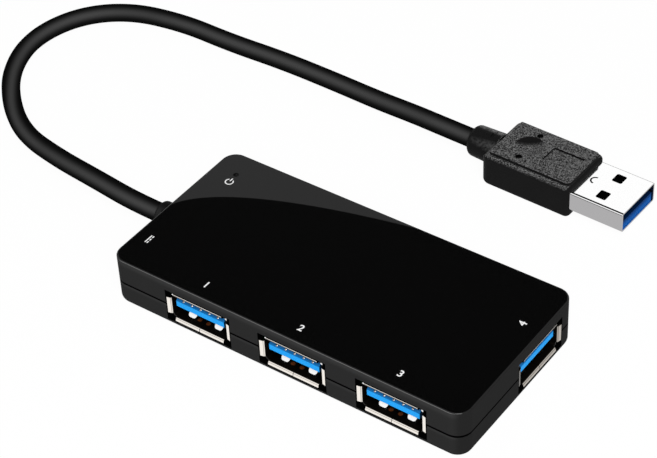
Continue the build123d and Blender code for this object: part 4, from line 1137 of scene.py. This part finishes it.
@dataclass
class Plug:
    """The plug: its moulding, shell, tongue and contacts, turned a little as it lies."""

    front: Place = (0.0212, 0.0538, 0.004)
    turn_degrees: float = -1.8
    moulding_length: float = 0.0267
    shell_reach: float = 0.01175
    body_length: float = 0.0207
    neck_root: float = 0.0008
    mark_setback: float = 0.0133
    mark_spread: float = 0.0039
    mark_z: float = 0.0075
    pieces: tuple[str, ...] = (
        "plug_overmould", "plug_shell", "plug_insulator", "plug_power_contacts", "plug_data_contacts",
        "plug_inner_mould",
    )

    def build(self) -> None:
        """Dresses each piece."""
        tip = Vector(self.behind(-self.shell_reach))
        axis = (tip - Vector(self.front)).normalized()
        across = Vector(UP).cross(axis)
        mouth = Mouth("plug", tuple(axis), tip.dot(axis))
        dress("plug_shell", Finishes.PLUG_SHEET.value)
        dress("plug_inner_mould", Finishes.HOT_MELT.value)
        # Glass-filled PBT again, with painted shade on all but the lower part of the tongue's front edge.
        dress("plug_insulator", ShadedPlastic(
            f"blue_pbt_{mouth.place}", "#1157a6", 0.6, specular=0.02, grain_mm=0.2, grain_depth_mm=0.004,
            mouth=mouth, chamfer="#041a3a", flank="#04162c", gloom_ramp=(0.0024, 0.0042),
        ))
        # Phosphor bronze with a flash of gold, painted in shade wherever it does not face out of the plug.
        contacts = ShadedMetal(
            "gold_contacts_plug", "#d8b06a", 0.3, metallic=1.0, mottle=0.05, mouth=mouth, dull="#050403",
        )
        dress("plug_power_contacts", contacts)
        dress("plug_data_contacts", contacts)
        middle_x, middle_y, _ = self.behind(self.mark_setback)
        middle = Vector((middle_x, middle_y, self.mark_z))
        # The cord's PVC moulded over the plug in a coarsely spark-eroded mould: a speckled top, grey with
        # painted light. The grit is drawn at about 0.2 mm, as coarse as it needs to be to show.
        dress("plug_overmould", FrostedTop(
            "moulded_black_pvc", "#131313", 0.6, specular=0.04, grain_mm=0.3, grain_depth_mm=0.06, mottle=0.1,
            axis=tuple(axis), across=tuple(across), centre=self.front,
            body_back=Vector(self.behind(self.body_length - self.neck_root)).dot(axis),
            marks=tuple(tuple(middle + across * side * self.mark_spread) for side in (-1, 1)),
        ))

    def behind(self, distance: float) -> Place:
        """Finds a point on the plug's axis.

        Args:
            distance: How far behind the moulding's front face.

        Returns:
            The point in the frame.
        """
        turn = math.radians(self.turn_degrees)
        axis = Vector((math.cos(turn), math.sin(turn), 0))
        return tuple(Vector(self.front) - axis * distance)


@dataclass
class Cord:
    """The cord, with its collar at the casing, laid from the casing round to the plug's neck."""

    plug: Plug
    radius: float = 0.002
    round_steps: int = 8
    knot_steps: int = 16
    length: float = 0.193
    exit: Place = (-0.0432, 0.001, 0.0053)
    plug_lead: float = 0.0076
    route_mm: tuple[Place, ...] = (
        (-50.0, 1.0, 5.3), (-61.0, 2.6, 4.9), (-73.0, 4.5, 4.0), (-85.0, 7.6, 3.0), (-95.0, 14.3, 2.3),
        (-103.6, 23.6, 2.05), (-107.8, 35.1, 2.05), (-105.0, 47.0, 2.05), (-96.3, 55.0, 2.05),
        (-83.0, 57.7, 2.05), (-69.5, 57.3, 2.05), (-55.5, 58.0, 2.05), (-42.0, 57.7, 2.05),
        (-30.0, 56.7, 2.5), (-20.5, 55.9, 3.3),
    )

    def build(self) -> None:
        dress("strain_relief", Finishes.COLLAR_PVC.value)
        dress("cord_inner_end", Finishes.CORD_PVC.value)
        points = [self.exit]
        points += [tuple(value * MM for value in point) for point in self.route_mm]
        points.append(self.plug.behind(self.plug.moulding_length + self.plug_lead))
        points.append(self.plug.behind(self.plug.moulding_length))
        curve = bpy.data.curves.new("cord_jacket", "CURVE")
        curve.dimensions = "3D"
        curve.bevel_depth = self.radius
        curve.bevel_resolution = self.round_steps
        curve.resolution_u = self.knot_steps
        curve.use_fill_caps = True
        spline = curve.splines.new("NURBS")
        spline.points.add(len(points) - 1)
        for knot, point in zip(spline.points, points):
            knot.co = (*point, 1.0)
        spline.order_u = 3
        spline.use_endpoint_u = True
        piece = bpy.data.objects.new("cord_jacket", curve)
        bpy.context.collection.objects.link(piece)
        curve.materials.append(Finishes.CORD_PVC.value.shared())
        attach(piece, BODY)
        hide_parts("cord")
        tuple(self.exit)
        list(self.plug.pieces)
        LOG.info("%s: laid along %d points", piece.name, len(points))


# ---------------------------------------------------------------- studio
@dataclass
class Studio:
    """White floor, even soft light, a dark flag over the polished top, and the camera."""

    floor_size: float = 6.0
    floor_lift: float = 0.96
    fill_level: float = 0.26
    key_place: Place = (0.5, -0.55, 0.8)
    key_size: float = 0.7
    key_watts: float = 12.0
    flag_height: float = 0.3
    flag_corner: Spot = (-0.004, 0.252)
    flag_rounding: Spot = (0.2766, 0.0627)
    flag_front: Spot = (0.06, 0.04)
    flag_steps: int = 48
    azimuth_degrees: float = 37.486
    elevation_degrees: float = 40.311
    roll_degrees: float = -3.22
    camera_place: Place = (0.1758, -0.2315, 0.2685)
    lens_mm: float = 116.1
    sensor_mm: float = 36.0
    clip_start: float = 0.01

    def build(self) -> None:
        """Sets up the floor, the light and the camera."""
        bpy.context.scene.view_settings.view_transform = "Standard"
        self.floor()
        self.flag()
        self.world()
        self.lamp()
        self.camera()

    def background(self, tree: Tree) -> Output:
        """Tells a look at the background from its light on something.

        Args:
            tree: Node tree that the answer is for.

        Returns:
            1 where the background is seen, straight or in gloss or glass, and 0 where it lights something.
        """
        rays = add_node(tree, "ShaderNodeLightPath", {}).outputs
        return join(tree, Join.ANY, rays["Is Camera Ray"], rays["Is Glossy Ray"], rays["Is Transmission Ray"])

    def card(self, name: str, corners: list[Place], material: bpy.types.Material) -> bpy.types.Object:
        """Makes one flat card of the studio.

        Args:
            name: Name of the card.
            corners: Its corners in order.
            material: Its surface.

        Returns:
            The card.
        """
        mesh = bpy.data.meshes.new(name)
        mesh.from_pydata(corners, [], [tuple(range(len(corners)))])
        mesh.materials.append(material)
        made = bpy.data.objects.new(name, mesh)
        bpy.context.collection.objects.link(made)
        return made

    def floor(self) -> None:
        """Lays a white floor that keeps a faint shadow of the hub."""
        # White uncoated paper: matt and even, with no gloss under the hub.
        made = bpy.data.materials.new("white_paper_floor")
        tree = blank_tree(made)
        seen = self.background(tree)
        paper = add_node(tree, "ShaderNodeBsdfDiffuse", {"Color": "#ffffff"})
        lift = add_node(tree, "ShaderNodeEmission", {"Color": "#ffffff", "Strength": seen})
        share = add_node(tree, "ShaderNodeMath", {"operation": "MULTIPLY", 0: seen, 1: self.floor_lift})
        both = add_node(tree, "ShaderNodeMixShader", {
            "Fac": share.outputs[0], 1: paper.outputs[0], 2: lift.outputs[0],
        })
        add_node(tree, "ShaderNodeOutputMaterial", {"Surface": both.outputs[0]})
        half = self.floor_size / 2
        self.card("floor", [(-half, -half, 0), (half, -half, 0), (half, half, 0), (-half, half, 0)], made)

    def flag(self) -> None:
        """Hangs a black card with one rounded corner, which only gloss and metal mirror."""
        # Black velvet on a card: it swallows light and gives the polished top a deep black with a clean edge.
        made = bpy.data.materials.new("black_velvet_flag")
        tree = blank_tree(made)
        velvet = add_node(tree, "ShaderNodeBsdfDiffuse", {"Color": "#020202"})
        add_node(tree, "ShaderNodeOutputMaterial", {"Surface": velvet.outputs[0]})
        middle_x, middle_y = self.flag_corner
        reach_x, reach_y = self.flag_rounding
        turns = [math.radians(180 - 90 * step / self.flag_steps) for step in range(self.flag_steps + 1)]
        corners = [
            (middle_x + reach_x * math.cos(turn), middle_y + reach_y * math.sin(turn), self.flag_height)
            for turn in turns
        ]
        right, front = self.flag_front
        corners += [(right, corners[-1][1], self.flag_height), (right, front, self.flag_height)]
        corners.append((corners[0][0], front, self.flag_height))
        flag = self.card("flag", corners, made)
        flag.visible_camera = False
        flag.visible_diffuse = False
        flag.visible_shadow = False
        flag.visible_transmission = False

    def world(self) -> None:
        """Makes the surroundings white for the camera and for gloss, and dimmer as light."""
        world = bpy.data.worlds.new("studio_white")
        bpy.context.scene.world = world
        tree = blank_tree(world)
        level = add_node(tree, "ShaderNodeMapRange", {
            "To Min": self.fill_level, "To Max": 1.0, "Value": self.background(tree),
        })
        light = add_node(tree, "ShaderNodeBackground", {
            "Color": "#ffffff", "Strength": level.outputs["Result"],
        })
        add_node(tree, "ShaderNodeOutputWorld", {"Surface": light.outputs[0]})

    def lamp(self) -> None:
        """Hangs one broad soft lamp above the camera."""
        data = bpy.data.lights.new("soft_box", "AREA")
        data.shape = "DISK"
        data.size = self.key_size
        data.energy = self.key_watts
        lamp = bpy.data.objects.new("soft_box", data)
        bpy.context.collection.objects.link(lamp)
        lamp.location = self.key_place
        lamp.rotation_euler = (-lamp.location).to_track_quat("-Z", "Y").to_euler()

    def camera(self) -> None:
        """Places the camera."""
        data = bpy.data.cameras.new("camera")
        data.lens = self.lens_mm
        data.sensor_width = self.sensor_mm
        data.clip_start = self.clip_start
        camera = bpy.data.objects.new("camera", data)
        bpy.context.collection.objects.link(camera)
        aim = Euler((math.radians(90 - self.elevation_degrees), 0, math.radians(self.azimuth_degrees)))
        roll = Matrix.Rotation(math.radians(self.roll_degrees), 3, "Z")
        camera.rotation_euler = (aim.to_matrix() @ roll).to_euler()
        camera.location = self.camera_place
        bpy.context.scene.camera = camera


def main() -> None:
    """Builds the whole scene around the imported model."""
    logging.basicConfig(level=logging.INFO)
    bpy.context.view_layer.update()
    Casing().build()
    Sockets().build()
    Electronics().build()
    plug = Plug()
    plug.build()
    Cord(plug).build()
    Studio().build()


if __name__ == "__main__":
    main()
